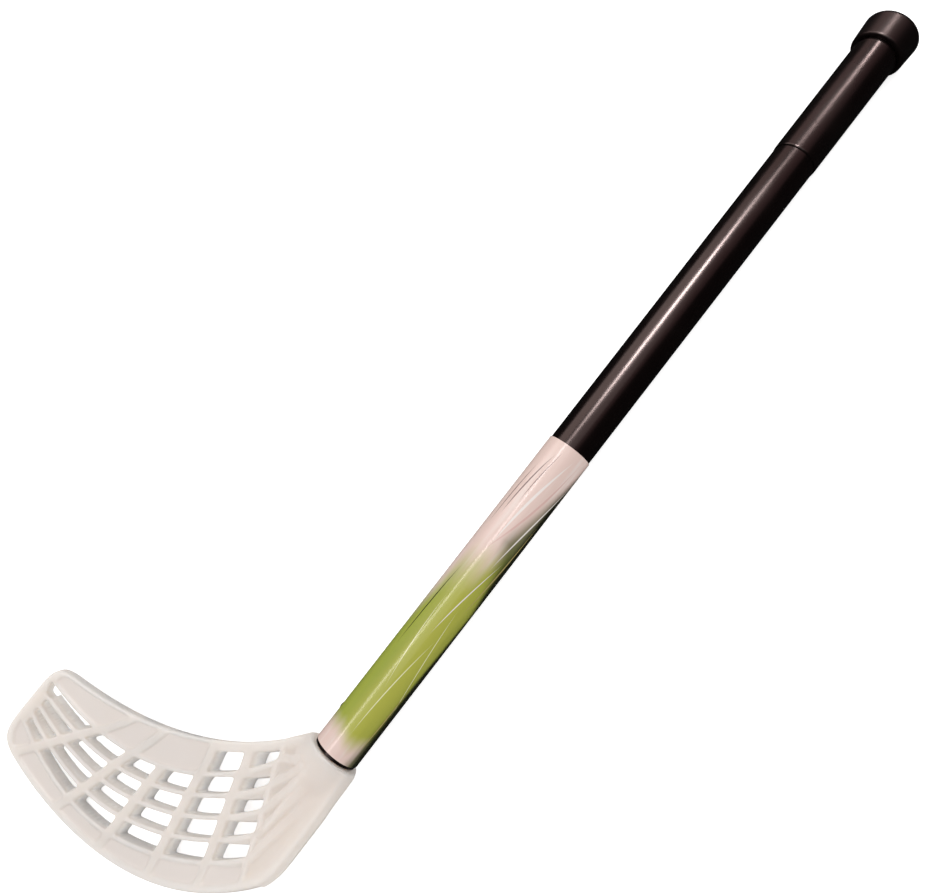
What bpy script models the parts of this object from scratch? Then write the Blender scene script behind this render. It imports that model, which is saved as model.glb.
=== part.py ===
"""A floorball stick lying on the floor, with the hollow side of its blade up.

The stick is modelled in its own frame, which the empty named stick_frame carries:
X runs up the shaft from the tube's lower end, Y points to the blade's toe and Z to
the blade's hollow side. The empty then lays the stick down on z = 0, and the box of
the whole stick is centred over the world's origin. All sizes are in metres.
"""
import math

import bmesh
import bpy
from mathutils import Matrix, Vector

MM = 0.001

# Clearances between pieces
SLIP = 0.30 * MM
SLEEVE_GAP = 0.15 * MM

# Shaft tube
TUBE_RADIUS = 14.0 * MM
TUBE_WALL = 1.8 * MM
TUBE_LENGTH = 563.0 * MM

# Printed film on the lower half of the tube
FILM_THICKNESS = 0.4 * MM
FILM_START = 2.2 * MM
FILM_LENGTH = 224.1 * MM

# Grip sleeve below the end cap
GRIP_THICKNESS = 0.3 * MM
GRIP_LENGTH = 87.6 * MM

# End cap: a knob that is pushed over the tube
CAP_RIM_RADIUS = 17.1 * MM
CAP_END_RADIUS = 18.2 * MM
CAP_SOCKET_DEPTH = 17.4 * MM
CAP_END_THICKNESS = 3.7 * MM
CAP_RIM_ROUND = 1.6 * MM
CAP_EDGE_ROUND = 4.0 * MM

# Blade outline, in the plane of the unbent blade: X along the shaft, Y to the toe
TOE_REACH = 192.5 * MM
TOP_ARC_RADIUS = 218.4 * MM
TOP_NECK_RISE = 19.0 * MM
TOP_TOE_STATION = 88.5 * MM
BOTTOM_ARC_RADIUS = 178.0 * MM
BOTTOM_HEEL_STATION = 98.6 * MM
BOTTOM_TOE_STATION = 152.3 * MM
TOE_TOP_ROUND = 6.5 * MM
TOE_BOTTOM_ROUND = 19.0 * MM
BACK_EDGE = 20.0 * MM
BACK_EDGE_RUN = 30.0 * MM
HEEL_ROUND = 30.0 * MM

# Blade thickness and hook
BLADE_DEPTH = 10.0 * MM
BLADE_EDGE_ROUND = 1.4 * MM
HOOK_RADIUS = 330.0 * MM
HOOK_STEP = 14.0 * MM

# Long ribs of the lattice: arcs about one centre, which draw in towards the toe
RIB_CENTRE_ACROSS = 48.0 * MM
RIB_CENTRE_REACH = 155.0 * MM
TOP_BAND_BEARING = 57.0
TOP_BAND = 12.85 * MM
RIB_PITCH = 12.05 * MM
LONG_RIB_WIDTH = 3.6 * MM
NECK_SWELL_START = 44.0
NECK_SWELL = 0.42 * MM
TOE_PULL_START = 18.0
TOE_PULL_SPAN = 28.0
TOE_PULL_POWER = 1.5
TOE_PULL_STEP = 5.8 * MM
TOE_ENDS = (-12.2, -9.3, -9.8, -11.0)
PANEL_TOE_ENDS = (-10.0, -12.4)

# Cross ribs: their widths on the two faces, and their bearings in degrees at three places,
# which are counted in rows from the first long rib
CROSS_RIBS_TOP = (66.0, 53.2, 41.0, 30.5, 23.5, 13.2)
CROSS_RIBS_INNER = (60.3, 49.3, 37.5, 26.4, 17.0, 5.9)
CROSS_RIBS_OUTER = (51.0, 41.5, 30.5, 18.7, 6.8, -7.8)
CROSS_TOP_ROW = -1.56
CROSS_INNER_ROW = 0.1
CROSS_OUTER_ROW = 4.66
CROSS_RIB_BEND = 0.75
CROSS_FRONT_WIDTH = 6.8 * MM
CROSS_BACK_WIDTH = 11.6 * MM
TOP_PANELS = ((2, 4), (4, 5), (5, None))

# Border round the lattice, and the panels
BORDER_WIDTH = 4.5 * MM
TOP_WINDOW_BORDER = 6.3 * MM
FRONT_RECESS = 1.2 * MM
PANEL_WALL = 2.6 * MM
LEAST_OPENING = 2.0 * MM

# Neck: the round collar that the tube stands on, thinning into the blade
COLLAR_RADIUS = 17.0 * MM
NECK_LENGTH = 78.0 * MM
NECK_END_THICKNESS = 9.2 * MM
NECK_FALLOFF = 1.6
NECK_SECTIONS = 9

# Spigot: the part of the blade that plugs into the tube
SPIGOT_LENGTH = 52.0 * MM
SPIGOT_WALL = 2.6 * MM
SPIGOT_CHAMFER = 1.2 * MM
SPIGOT_ROOT = 6.0 * MM

# Screw that holds the spigot, on the side of the toe
SCREW_STATION = 22.0 * MM
SCREW_HEAD_RADIUS = 3.2 * MM
SCREW_HEAD_HEIGHT = 1.7 * MM
SCREW_HEAD_ROUND = 1.0 * MM
SCREW_SHANK_RADIUS = 1.45 * MM
SCREW_LENGTH = 9.0 * MM
SCREW_TIP = 1.8 * MM
SLOT_WIDTH = 0.9 * MM
SLOT_LENGTH = 3.6 * MM
SLOT_DEPTH = 0.9 * MM

# Smoothness
TURN_STEPS = 48
SCREW_STEPS = 20
ARC_STEP = 12.0 * MM
CUT_PAST = 2.0 * MM
WELD = 0.001 * MM

# Search for the roll at which the blade touches the floor
STEEPEST_ROLL = 60.0
ROLL_HALVINGS = 40

# Worked out from the sizes above
TUBE_BORE = TUBE_RADIUS - TUBE_WALL
FILM_INNER = TUBE_RADIUS + SLEEVE_GAP
FILM_OUTER = FILM_INNER + FILM_THICKNESS
GRIP_INNER = TUBE_RADIUS + SLEEVE_GAP
GRIP_OUTER = GRIP_INNER + GRIP_THICKNESS
CAP_FLOOR = TUBE_LENGTH + SLIP
CAP_RIM = CAP_FLOOR - CAP_SOCKET_DEPTH
CAP_END = CAP_FLOOR + CAP_END_THICKNESS
GRIP_END = CAP_RIM - SLIP
GRIP_START = GRIP_END - GRIP_LENGTH
SPIGOT_RADIUS = TUBE_BORE - SLIP
SCREW_SEAT = FILM_OUTER + SLIP
HALF_DEPTH = BLADE_DEPTH / 2
LONG_RIBS = len(TOE_ENDS) + 1
CROSS_RIBS = len(CROSS_RIBS_INNER)
OPEN_TOP_COLUMNS = TOP_PANELS[0][0]
TOP_NECK_POINT = (-SLIP, TOP_NECK_RISE)
TOP_TOE_POINT = (-TOP_TOE_STATION, TOE_REACH - TOE_TOP_ROUND)
BOTTOM_HEEL_POINT = (-BOTTOM_HEEL_STATION, 0.0)
BOTTOM_TOE_POINT = (-BOTTOM_TOE_STATION, TOE_REACH - TOE_BOTTOM_ROUND)


def clear_scene():
    """Remove whatever the scene holds."""
    for item in list(bpy.data.objects):
        bpy.data.objects.remove(item, do_unlink=True)


def new_collection(name):
    """Make a collection and link it to the scene."""
    group = bpy.data.collections.new(name)
    bpy.context.scene.collection.children.link(group)
    return group


def plastic(name, colour, roughness, metallic=0.0):
    """One Principled material."""
    finish = bpy.data.materials.new(name)
    finish.use_nodes = True
    shader = finish.node_tree.nodes["Principled BSDF"]
    shader.inputs["Base Color"].default_value = (*colour, 1.0)
    shader.inputs["Roughness"].default_value = roughness
    shader.inputs["Metallic"].default_value = metallic
    return finish


def add_object(name, mesh, group, parent, finish=None):
    """Link a mesh as an object of the stick's frame."""
    item = bpy.data.objects.new(name, mesh)
    group.objects.link(item)
    item.parent = parent
    if finish:
        mesh.materials.clear()
        mesh.materials.append(finish)
    return item


def as_cutter(item):
    """Mark an object as a tool for Boolean modifiers."""
    item.hide_render = True
    item.display_type = "WIRE"
    return item


def evaluated_mesh(item):
    """The object's mesh with its modifiers applied, in its own space."""
    graph = bpy.context.evaluated_depsgraph_get()
    return bpy.data.meshes.new_from_object(item.evaluated_get(graph))


def boolean(item, tool, operation):
    """Add a Boolean modifier to an object."""
    modifier = item.modifiers.new(f"{operation.lower()} {tool.name}", "BOOLEAN")
    modifier.operation = operation
    modifier.object = tool


def baked(item, tools, operation):
    """Apply Booleans to an object one after another, and drop the tools."""
    for tool in tools:
        boolean(item, tool, operation)
        shell = bmesh.new()
        shell.from_mesh(evaluated_mesh(item))
        bmesh.ops.remove_doubles(shell, verts=shell.verts, dist=WELD)
        bmesh.ops.dissolve_degenerate(shell, edges=shell.edges, dist=WELD)
        bmesh.ops.triangulate(shell, faces=shell.faces)
        item.modifiers.clear()
        shell.to_mesh(item.data)
        shell.free()
        bpy.data.objects.remove(tool, do_unlink=True)


def turned(name, profile, group, parent, finish=None, steps=TURN_STEPS):
    """Turn a profile of (radius, height) points about Z with a Screw modifier."""
    mesh = bpy.data.meshes.new(name)
    points = [(radius, 0.0, height) for radius, height in profile]
    edges = [(index, index + 1) for index in range(len(points) - 1)]
    mesh.from_pydata(points, edges, [])
    item = add_object(name, mesh, group, parent, finish)
    modifier = item.modifiers.new("turn", "SCREW")
    modifier.steps = steps
    modifier.render_steps = steps
    modifier.use_merge_vertices = True
    modifier.merge_threshold = WELD
    modifier.use_smooth_shade = True
    return item


def along_shaft(item):
    """Turn an object's Z to the shaft's X."""
    item.rotation_euler = (0.0, math.pi / 2, 0.0)
    return item


def ring_profile(inner, outer, start, end):
    """The closed profile of a plain sleeve."""
    corners = [(inner, end), (outer, end), (outer, start), (inner, start)]
    return corners + corners[:1]


def arc(centre, radius, start, end):
    """Points on an arc between two angles, about ARC_STEP apart."""
    steps = max(3, math.ceil(abs(end - start) * radius / ARC_STEP))
    angles = [start + (end - start) * index / steps for index in range(steps + 1)]
    return [(centre[0] + radius * math.cos(t), centre[1] + radius * math.sin(t)) for t in angles]


def bearing(origin, target):
    """The angle from one point to another, from 0 to a full turn."""
    return math.atan2(target[1] - origin[1], target[0] - origin[0]) % math.tau


def arc_centre(start, end, radius):
    """Centre, on the shaft's side, of the arc of that radius through two points."""
    half_x, half_y = (end[0] - start[0]) / 2, (end[1] - start[1]) / 2
    chord = math.hypot(half_x, half_y)
    rise = math.sqrt(radius * radius - chord * chord)
    return start[0] + half_x + rise * half_y / chord, start[1] + half_y - rise * half_x / chord


def top_centre():
    """Centre of the blade's top edge, which curves in from the neck to the toe."""
    return arc_centre(TOP_NECK_POINT, TOP_TOE_POINT, TOP_ARC_RADIUS)


def bottom_centre():
    """Centre of the blade's bottom edge."""
    return arc_centre(BOTTOM_HEEL_POINT, BOTTOM_TOE_POINT, BOTTOM_ARC_RADIUS)


def inside_bottom(round_radius, reach):
    """Centre of a round of that radius which touches the bottom arc from inside, at the height reach."""
    centre = bottom_centre()
    run = BOTTOM_ARC_RADIUS - round_radius
    rise = reach - centre[1]
    return centre[0] - math.sqrt(run * run - rise * rise), reach


def blade_outline(inset):
    """The blade's outline before it is bent, moved inwards by inset."""
    top, bottom = top_centre(), bottom_centre()
    top_round_y = TOE_REACH - TOE_TOP_ROUND
    run = TOP_ARC_RADIUS + TOE_TOP_ROUND
    toe_top = (top[0] - math.sqrt(run * run - (top_round_y - top[1]) ** 2), top_round_y)
    toe_bottom = inside_bottom(TOE_BOTTOM_ROUND, TOE_REACH - TOE_BOTTOM_ROUND)
    heel = inside_bottom(HEEL_ROUND, HEEL_ROUND - BACK_EDGE)
    neck_x = -SLIP - inset - WELD
    top_radius = TOP_ARC_RADIUS + inset
    neck_run = top[0] - neck_x
    neck_top = (neck_x, top[1] - math.sqrt(top_radius * top_radius - neck_run * neck_run))
    toe_top_angle = bearing(top, toe_top)
    toe_bottom_angle = bearing(bottom, toe_bottom)
    heel_angle = bearing(bottom, heel)
    points = arc(top, top_radius, bearing(top, neck_top), toe_top_angle)
    points += arc(toe_top, TOE_TOP_ROUND - inset, toe_top_angle - math.pi, math.pi / 2)
    points += arc(toe_bottom, TOE_BOTTOM_ROUND - inset, math.pi / 2, toe_bottom_angle)
    points += arc(bottom, BOTTOM_ARC_RADIUS - inset, toe_bottom_angle, heel_angle)[1:]
    points += arc(heel, HEEL_ROUND - inset, heel_angle, math.pi * 3 / 2)[1:]
    points += [(-BACK_EDGE_RUN, inset - BACK_EDGE), (neck_x, inset - COLLAR_RADIUS)]
    return points


def prism(name, outlines, low, high, group, parent, round_edge=0.0):
    """A flat solid between two heights from closed outlines, through a filled 2D curve."""
    curve = bpy.data.curves.new(name, "CURVE")
    curve.dimensions = "2D"
    curve.fill_mode = "BOTH"
    curve.extrude = (high - low) / 2 - round_edge
    curve.bevel_depth = round_edge
    curve.bevel_resolution = 1
    curve.offset = -round_edge
    for outline in outlines:
        spline = curve.splines.new("POLY")
        spline.points.add(len(outline) - 1)
        for point, (x, y) in zip(spline.points, outline):
            point.co = (x, y, 0.0, 1.0)
        spline.use_cyclic_u = True
    drawn = bpy.data.objects.new(name, curve)
    group.objects.link(drawn)
    bpy.context.view_layer.update()
    mesh = evaluated_mesh(drawn)
    bpy.data.objects.remove(drawn, do_unlink=True)
    shell = bmesh.new()
    shell.from_mesh(mesh)
    bmesh.ops.remove_doubles(shell, verts=shell.verts, dist=WELD)
    bmesh.ops.translate(shell, verts=shell.verts, vec=(0.0, 0.0, (high + low) / 2))
    bmesh.ops.recalc_face_normals(shell, faces=shell.faces)
    shell.to_mesh(mesh)
    shell.free()
    return add_object(name, mesh, group, parent)


def top_edge_radius(angle, inset):
    """Distance from the ribs' centre to the blade's top edge, moved inwards by inset."""
    top = top_centre()
    from_top = Vector((RIB_CENTRE_ACROSS - top[0], RIB_CENTRE_REACH - top[1]))
    ray = Vector((-math.cos(angle), -math.sin(angle)))
    along = from_top.dot(ray)
    reach = TOP_ARC_RADIUS + inset
    return -along + math.sqrt(along * along - from_top.length_squared + reach * reach)


def row_radius(row):
    """Radius of a long rib's middle; the first rib follows the blade's top edge at its own distance."""
    return top_edge_radius(math.radians(TOP_BAND_BEARING), TOP_BAND) + row * RIB_PITCH


def rib_radius(row, angle):
    """Radius of a long rib's middle at an angle; near the toe the outer ribs draw in."""
    late = max(0.0, TOE_PULL_START - math.degrees(angle)) / TOE_PULL_SPAN
    pull = TOE_PULL_STEP * max(0, row - 1)
    return row_radius(row) - pull * late ** TOE_PULL_POWER


def rib_outer_edge(row, angle):
    """The side of a long rib that faces the blade's bottom edge; it swells towards the neck."""
    swell = max(0.0, math.degrees(angle) - NECK_SWELL_START)
    return rib_radius(row, angle) + LONG_RIB_WIDTH / 2 + NECK_SWELL * swell


def rib_inner_edge(row, angle):
    """The side of a long rib that faces the blade's top edge."""
    return rib_radius(row, angle) - LONG_RIB_WIDTH / 2


def polar(angle, radius):
    """The point at an angle and a radius about the ribs' centre."""
    return RIB_CENTRE_ACROSS - radius * math.cos(angle), RIB_CENTRE_REACH - radius * math.sin(angle)


def cross_rib_angle(column, radius):
    """Angle of a cross rib's centre line at a radius about the ribs' centre."""
    inner = CROSS_RIBS_INNER[column]
    row = (radius - row_radius(0)) / RIB_PITCH
    if row < CROSS_INNER_ROW:
        share = (CROSS_INNER_ROW - row) / (CROSS_INNER_ROW - CROSS_TOP_ROW)
        return math.radians(inner + (CROSS_RIBS_TOP[column] - inner) * share)
    share = (row - CROSS_INNER_ROW) / (CROSS_OUTER_ROW - CROSS_INNER_ROW)
    return math.radians(inner + (CROSS_RIBS_OUTER[column] - inner) * share ** CROSS_RIB_BEND)


def cell(first, last, inner, outer, depth, toe_end=None):
    """Outline of the gap between two cross ribs and the radii inner(angle) and outer(angle).

    The cross ribs widen with depth, which is 0 on the front face and 1 on the back face.
    """
    half = (CROSS_FRONT_WIDTH + (CROSS_BACK_WIDTH - CROSS_FRONT_WIDTH) * depth) / 2
    sides = []
    for edge in (inner, outer):
        middle = edge(cross_rib_angle(first, row_radius(CROSS_INNER_ROW)))
        start = cross_rib_angle(first, middle)
        if toe_end is None:
            end = cross_rib_angle(last, middle)
        else:
            end = math.radians(toe_end)
        steps = max(3, math.ceil((start - end) * middle / ARC_STEP))
        start -= half / middle
        if toe_end is None:
            end += half / middle
        angles = [start + (end - start) * index / steps for index in range(steps + 1)]
        sides.append([polar(angle, edge(angle)) for angle in angles])
    return sides[0] + sides[1][::-1]


def has_room(outline):
    """Whether an outline encloses an opening; its area is negative where its sides have changed places."""
    pairs = zip(outline, outline[1:] + outline[:1])
    area = sum(here[0] * after[1] - after[0] * here[1] for here, after in pairs) / 2
    return area > LEAST_OPENING * LEAST_OPENING


def window_cells(depth):
    """Outlines, at a depth, of the openings that go right through the blade."""
    last_column = CROSS_RIBS - 1
    cells = []
    for column in range(OPEN_TOP_COLUMNS):
        cells.append(cell(column, column + 1,
                          lambda angle: top_edge_radius(angle, TOP_WINDOW_BORDER),
                          lambda angle: rib_inner_edge(0, angle), depth))
    for row in range(LONG_RIBS - 1):
        for column in range(last_column + 1):
            cells.append(cell(column, column + 1,
                              lambda angle: rib_outer_edge(row, angle),
                              lambda angle: rib_inner_edge(row + 1, angle), depth,
                              TOE_ENDS[row] if column == last_column else None))
    return cells


def panel_cells(depth):
    """Outlines, at a depth, of the solid panels, which are recessed between the ribs."""
    last_column = CROSS_RIBS - 1
    past_edge = BOTTOM_ARC_RADIUS + RIB_PITCH * 3
    cells = []
    for column in range(last_column + 1):
        cells.append(cell(column, column + 1,
                          lambda angle: rib_outer_edge(LONG_RIBS - 1, angle),
                          lambda angle: past_edge, depth,
                          PANEL_TOE_ENDS[1] if column == last_column else None))
    for first, last in TOP_PANELS:
        cells.append(cell(first, last,
                          lambda angle: top_edge_radius(angle, BORDER_WIDTH),
                          lambda angle: rib_inner_edge(0, angle), depth,
                          PANEL_TOE_ENDS[0] if last is None else None))
    return cells


def drafted(name, upper, lower, high, low, group, parent):
    """Solids whose outlines change from upper at the height high to lower at the height low."""
    shell = bmesh.new()
    for top, bottom in zip(upper, lower):
        if not has_room(top) or not has_room(bottom):
            continue
        rims = [[shell.verts.new((x, y, height)) for x, y in outline]
                for outline, height in ((top, high), (bottom, low))]
        shell.faces.new(rims[0])
        shell.faces.new(rims[1])
        for index in range(len(top)):
            shell.faces.new((rims[0][index - 1], rims[0][index], rims[1][index], rims[1][index - 1]))
    bmesh.ops.recalc_face_normals(shell, faces=shell.faces)
    mesh = bpy.data.meshes.new(name)
    shell.to_mesh(mesh)
    shell.free()
    return add_object(name, mesh, group, parent)


def clipped(name, cells, low, high, group, parent):
    """Prisms over the cells, kept inside the blade's border."""
    tool = prism(name, [outline for outline in cells if has_room(outline)], low, high, group, parent)
    inside = [blade_outline(BORDER_WIDTH)]
    field = prism(f"{name}_field", inside, low - CUT_PAST, high + CUT_PAST, group, parent)
    baked(tool, [field], "INTERSECT")
    return tool


def hooked(mesh):
    """Bend the flat blade into its hook: an arc about a line along the shaft, on the hollow side."""
    shell = bmesh.new()
    shell.from_mesh(mesh)
    reach = 0.0
    while reach < TOE_REACH:
        geometry = shell.verts[:] + shell.edges[:] + shell.faces[:]
        bmesh.ops.bisect_plane(shell, geom=geometry, dist=WELD,
                               plane_co=(0.0, reach, 0.0), plane_no=(0.0, 1.0, 0.0))
        reach += HOOK_STEP
    bmesh.ops.triangulate(shell, faces=shell.faces)
    for point in shell.verts:
        if point.co.y > 0.0:
            turn = point.co.y / HOOK_RADIUS
            radius = HOOK_RADIUS - point.co.z
            point.co.y = radius * math.sin(turn)
            point.co.z = HOOK_RADIUS - radius * math.cos(turn)
    shell.to_mesh(mesh)
    shell.free()


def neck_section(share):
    """Centre, half width and half thickness of the neck at a share of its length."""
    x = -SLIP - NECK_LENGTH * share
    heel = inside_bottom(HEEL_ROUND, HEEL_ROUND - BACK_EDGE)
    swell = min(1.0, -x / BACK_EDGE_RUN)
    low = -(COLLAR_RADIUS + (BACK_EDGE - COLLAR_RADIUS) * swell)
    if x < heel[0]:
        low = heel[1] - math.sqrt(HEEL_ROUND * HEEL_ROUND - (heel[0] - x) ** 2)
    near, far = [polar(cross_rib_angle(0, radius), radius)
                 for radius in (row_radius(CROSS_INNER_ROW), row_radius(CROSS_OUTER_ROW))]
    slope = (far[1] - near[1]) / (far[0] - near[0])
    rib_high = near[1] + slope * (x - near[0]) - CROSS_FRONT_WIDTH / 2
    top = top_centre()
    arc_run = top[0] - x
    arc_high = top[1] - math.sqrt(TOP_ARC_RADIUS ** 2 - arc_run * arc_run) - BLADE_EDGE_ROUND
    high = max(low + NECK_END_THICKNESS, min(rib_high, max(arc_high, COLLAR_RADIUS)))
    end = NECK_END_THICKNESS / 2
    thick = end + (COLLAR_RADIUS - end) * (1.0 - share) ** NECK_FALLOFF
    return (x, (high + low) / 2), (high - low) / 2, thick


def neck_mesh():
    """Loft from the round collar to a flat section inside the blade, where no turned shape serves."""
    shell = bmesh.new()
    rings = []
    for index in range(NECK_SECTIONS + 1):
        (x, y), half_width, half_thickness = neck_section(index / NECK_SECTIONS)
        ring = []
        for step in range(TURN_STEPS):
            angle = math.tau * step / TURN_STEPS
            place = (x, y + half_width * math.cos(angle), half_thickness * math.sin(angle))
            ring.append(shell.verts.new(place))
        rings.append(ring)
    for upper, lower in zip(rings, rings[1:]):
        for step in range(TURN_STEPS):
            after = (step + 1) % TURN_STEPS
            shell.faces.new((upper[step], upper[after], lower[after], lower[step]))
    shell.faces.new(rings[0])
    shell.faces.new(rings[-1])
    bmesh.ops.recalc_face_normals(shell, faces=shell.faces)
    mesh = bpy.data.meshes.new("neck")
    shell.to_mesh(mesh)
    shell.free()
    return mesh


def screw_hole(group, parent):
    """The cutter for the screw's hole through film, tube and spigot."""
    mesh = bpy.data.meshes.new("screw_hole")
    shell = bmesh.new()
    radius = SCREW_SHANK_RADIUS + SLIP
    depth = SCREW_LENGTH + CUT_PAST * 2
    bmesh.ops.create_cone(shell, cap_ends=True, segments=SCREW_STEPS, depth=depth,
                          radius1=radius, radius2=radius)
    shell.to_mesh(mesh)
    shell.free()
    item = as_cutter(add_object("screw_hole", mesh, group, parent))
    item.rotation_euler = (-math.pi / 2, 0.0, 0.0)
    item.location = (SCREW_STATION, SCREW_SEAT - depth / 2 + CUT_PAST, 0.0)
    return item


def make_blade(parts, cutters, stick, hole, finish):
    """The moulded blade: bent lattice, neck, collar and hollow spigot, in one piece."""
    blade = prism("blade", [blade_outline(0.0)], -HALF_DEPTH, HALF_DEPTH, parts, stick, BLADE_EDGE_ROUND)
    high = HALF_DEPTH + CUT_PAST
    past = CUT_PAST / BLADE_DEPTH
    windows = drafted("windows", window_cells(-past), window_cells(1.0 + past), high, -high, cutters, stick)
    panel_front = HALF_DEPTH - FRONT_RECESS
    fronts = clipped("panel_fronts", panel_cells(0.0), panel_front, high, cutters, stick)
    backs = clipped("panel_backs", panel_cells(1.0), -high, panel_front - PANEL_WALL, cutters, stick)
    baked(blade, [windows, fronts, backs], "DIFFERENCE")
    hooked(blade.data)
    neck = as_cutter(add_object("neck", neck_mesh(), cutters, stick))
    boolean(blade, neck, "UNION")
    core = SPIGOT_RADIUS - SPIGOT_WALL
    tip = SPIGOT_LENGTH
    profile = [(0.0, SPIGOT_ROOT), (core, SPIGOT_ROOT), (core, tip), (SPIGOT_RADIUS - SPIGOT_CHAMFER, tip),
               (SPIGOT_RADIUS, tip - SPIGOT_CHAMFER), (SPIGOT_RADIUS, -SPIGOT_ROOT), (0.0, -SPIGOT_ROOT)]
    spigot = as_cutter(along_shaft(turned("spigot", profile, cutters, stick)))
    boolean(blade, spigot, "UNION")
    boolean(blade, hole, "DIFFERENCE")
    blade.data.materials.clear()
    blade.data.materials.append(finish)
    return blade


def make_tube(parts, stick, hole, finish):
    """The hollow shaft tube."""
    tube = along_shaft(turned("shaft_tube", ring_profile(TUBE_BORE, TUBE_RADIUS, 0.0, TUBE_LENGTH),
                              parts, stick, finish))
    boolean(tube, hole, "DIFFERENCE")
    return tube


def make_film(parts, stick, hole, finish):
    """The printed film that is shrunk on the tube's lower half."""
    film_end = FILM_START + FILM_LENGTH
    film = along_shaft(turned("print_sleeve", ring_profile(FILM_INNER, FILM_OUTER, FILM_START, film_end),
                              parts, stick, finish))
    boolean(film, hole, "DIFFERENCE")
    return film


def make_grip(parts, stick, finish):
    """The sleeve under the upper hand, which ends at the cap's rim."""
    return along_shaft(turned("grip_sleeve", ring_profile(GRIP_INNER, GRIP_OUTER, GRIP_START, GRIP_END),
                              parts, stick, finish))


def quarter_round(centre, radius, start, end, steps=4):
    """Points of a rounded corner in a turned profile."""
    angles = [start + (end - start) * index / steps for index in range(steps + 1)]
    return [(centre[0] + radius * math.cos(t), centre[1] + radius * math.sin(t)) for t in angles]


def make_cap(parts, stick, finish):
    """The flared knob over the tube's upper end."""
    socket = TUBE_RADIUS + SLEEVE_GAP
    quarter = math.pi / 2
    edge = (CAP_END_RADIUS - CAP_EDGE_ROUND, CAP_END - CAP_EDGE_ROUND)
    rim = (CAP_RIM_RADIUS - CAP_RIM_ROUND, CAP_RIM + CAP_RIM_ROUND)
    profile = [(0.0, CAP_END)]
    profile += quarter_round(edge, CAP_EDGE_ROUND, quarter, 0.0)
    profile += quarter_round(rim, CAP_RIM_ROUND, 0.0, -quarter)
    profile += [(socket, CAP_RIM), (socket, CAP_FLOOR), (0.0, CAP_FLOOR)]
    return along_shaft(turned("end_cap", profile, parts, stick, finish))


def make_screw(parts, cutters, stick, finish):
    """The self-tapping screw through film, tube and spigot, pointing at the shaft's axis."""
    quarter = math.pi / 2
    edge = SCREW_HEAD_ROUND
    profile = [(0.0, SCREW_HEAD_HEIGHT)]
    profile += quarter_round((SCREW_HEAD_RADIUS - edge, SCREW_HEAD_HEIGHT - edge), edge, quarter, 0.0, 3)
    profile += [(SCREW_HEAD_RADIUS, 0.0), (SCREW_SHANK_RADIUS, 0.0)]
    profile += [(SCREW_SHANK_RADIUS, SCREW_TIP - SCREW_LENGTH), (0.0, -SCREW_LENGTH)]
    screw = turned("blade_screw", profile, parts, stick, finish, SCREW_STEPS)
    screw.rotation_euler = (-quarter, 0.0, 0.0)
    screw.location = (SCREW_STATION, SCREW_SEAT, 0.0)
    for index in range(2):
        mesh = bpy.data.meshes.new("slot")
        shell = bmesh.new()
        bmesh.ops.create_cube(shell, size=1.0)
        bmesh.ops.scale(shell, verts=shell.verts, vec=(SLOT_LENGTH, SLOT_DEPTH * 2, SLOT_WIDTH))
        bmesh.ops.rotate(shell, verts=shell.verts, matrix=Matrix.Rotation(quarter * index, 3, "Y"))
        shell.to_mesh(mesh)
        shell.free()
        slot = as_cutter(add_object(f"slot_{index + 1}", mesh, cutters, stick))
        slot.location = (SCREW_STATION, SCREW_SEAT + SCREW_HEAD_HEIGHT, 0.0)
        boolean(screw, slot, "DIFFERENCE")
    return screw


def world_points(item):
    """The corners of an object's evaluated mesh in world space."""
    mesh = evaluated_mesh(item)
    points = [item.matrix_world @ point.co for point in mesh.vertices]
    bpy.data.meshes.remove(mesh)
    return points


def lay_down(stick, parts, blade):
    """Rest the stick on knob, collar and blade, and centre its box over the origin."""
    knob_station = CAP_END - CAP_EDGE_ROUND
    pitch = math.atan2(CAP_END_RADIUS - COLLAR_RADIUS, knob_station + SLIP)
    floor = -COLLAR_RADIUS * math.cos(pitch) - SLIP * math.sin(pitch)
    corners = [point for point in world_points(blade) if point.y > COLLAR_RADIUS + BLADE_DEPTH]
    level, steep = 0.0, math.radians(STEEPEST_ROLL)
    for _ in range(ROLL_HALVINGS):
        roll = (level + steep) / 2
        turn = Matrix.Rotation(-pitch, 3, "Y") @ Matrix.Rotation(-roll, 3, "X")
        if min((turn @ corner).z for corner in corners) > floor:
            level = roll
        else:
            steep = roll
    stick.rotation_euler = turn.to_euler()
    bpy.context.view_layer.update()
    points = [point for item in parts.objects for point in world_points(item)]
    low = Vector([min(point[axis] for point in points) for axis in range(3)])
    high = Vector([max(point[axis] for point in points) for axis in range(3)])
    stick.location = (-(low.x + high.x) / 2, -(low.y + high.y) / 2, -low.z)
    bpy.context.view_layer.update()


def main():
    """Build the stick and lay it on the floor."""
    clear_scene()
    parts = new_collection("floorball_stick")
    cutters = new_collection("cutters")
    stick = bpy.data.objects.new("stick_frame", None)
    bpy.context.scene.collection.objects.link(stick)
    hole = screw_hole(cutters, stick)
    blade = make_blade(parts, cutters, stick, hole, plastic("blade_plastic", (0.76, 0.70, 0.65), 0.45))
    make_tube(parts, stick, hole, plastic("tube_plastic", (0.012, 0.009, 0.009), 0.22))
    make_film(parts, stick, hole, plastic("print_film", (0.42, 0.50, 0.12), 0.2))
    make_grip(parts, stick, plastic("grip_plastic", (0.014, 0.010, 0.010), 0.3))
    make_cap(parts, stick, plastic("cap_plastic", (0.016, 0.012, 0.012), 0.45))
    make_screw(parts, cutters, stick, plastic("screw_steel", (0.55, 0.55, 0.56), 0.3, 1.0))
    bpy.context.view_layer.update()
    lay_down(stick, parts, blade)
    for item in parts.objects:
        if item is not blade:
            item.data.shade_smooth()


main()
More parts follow.
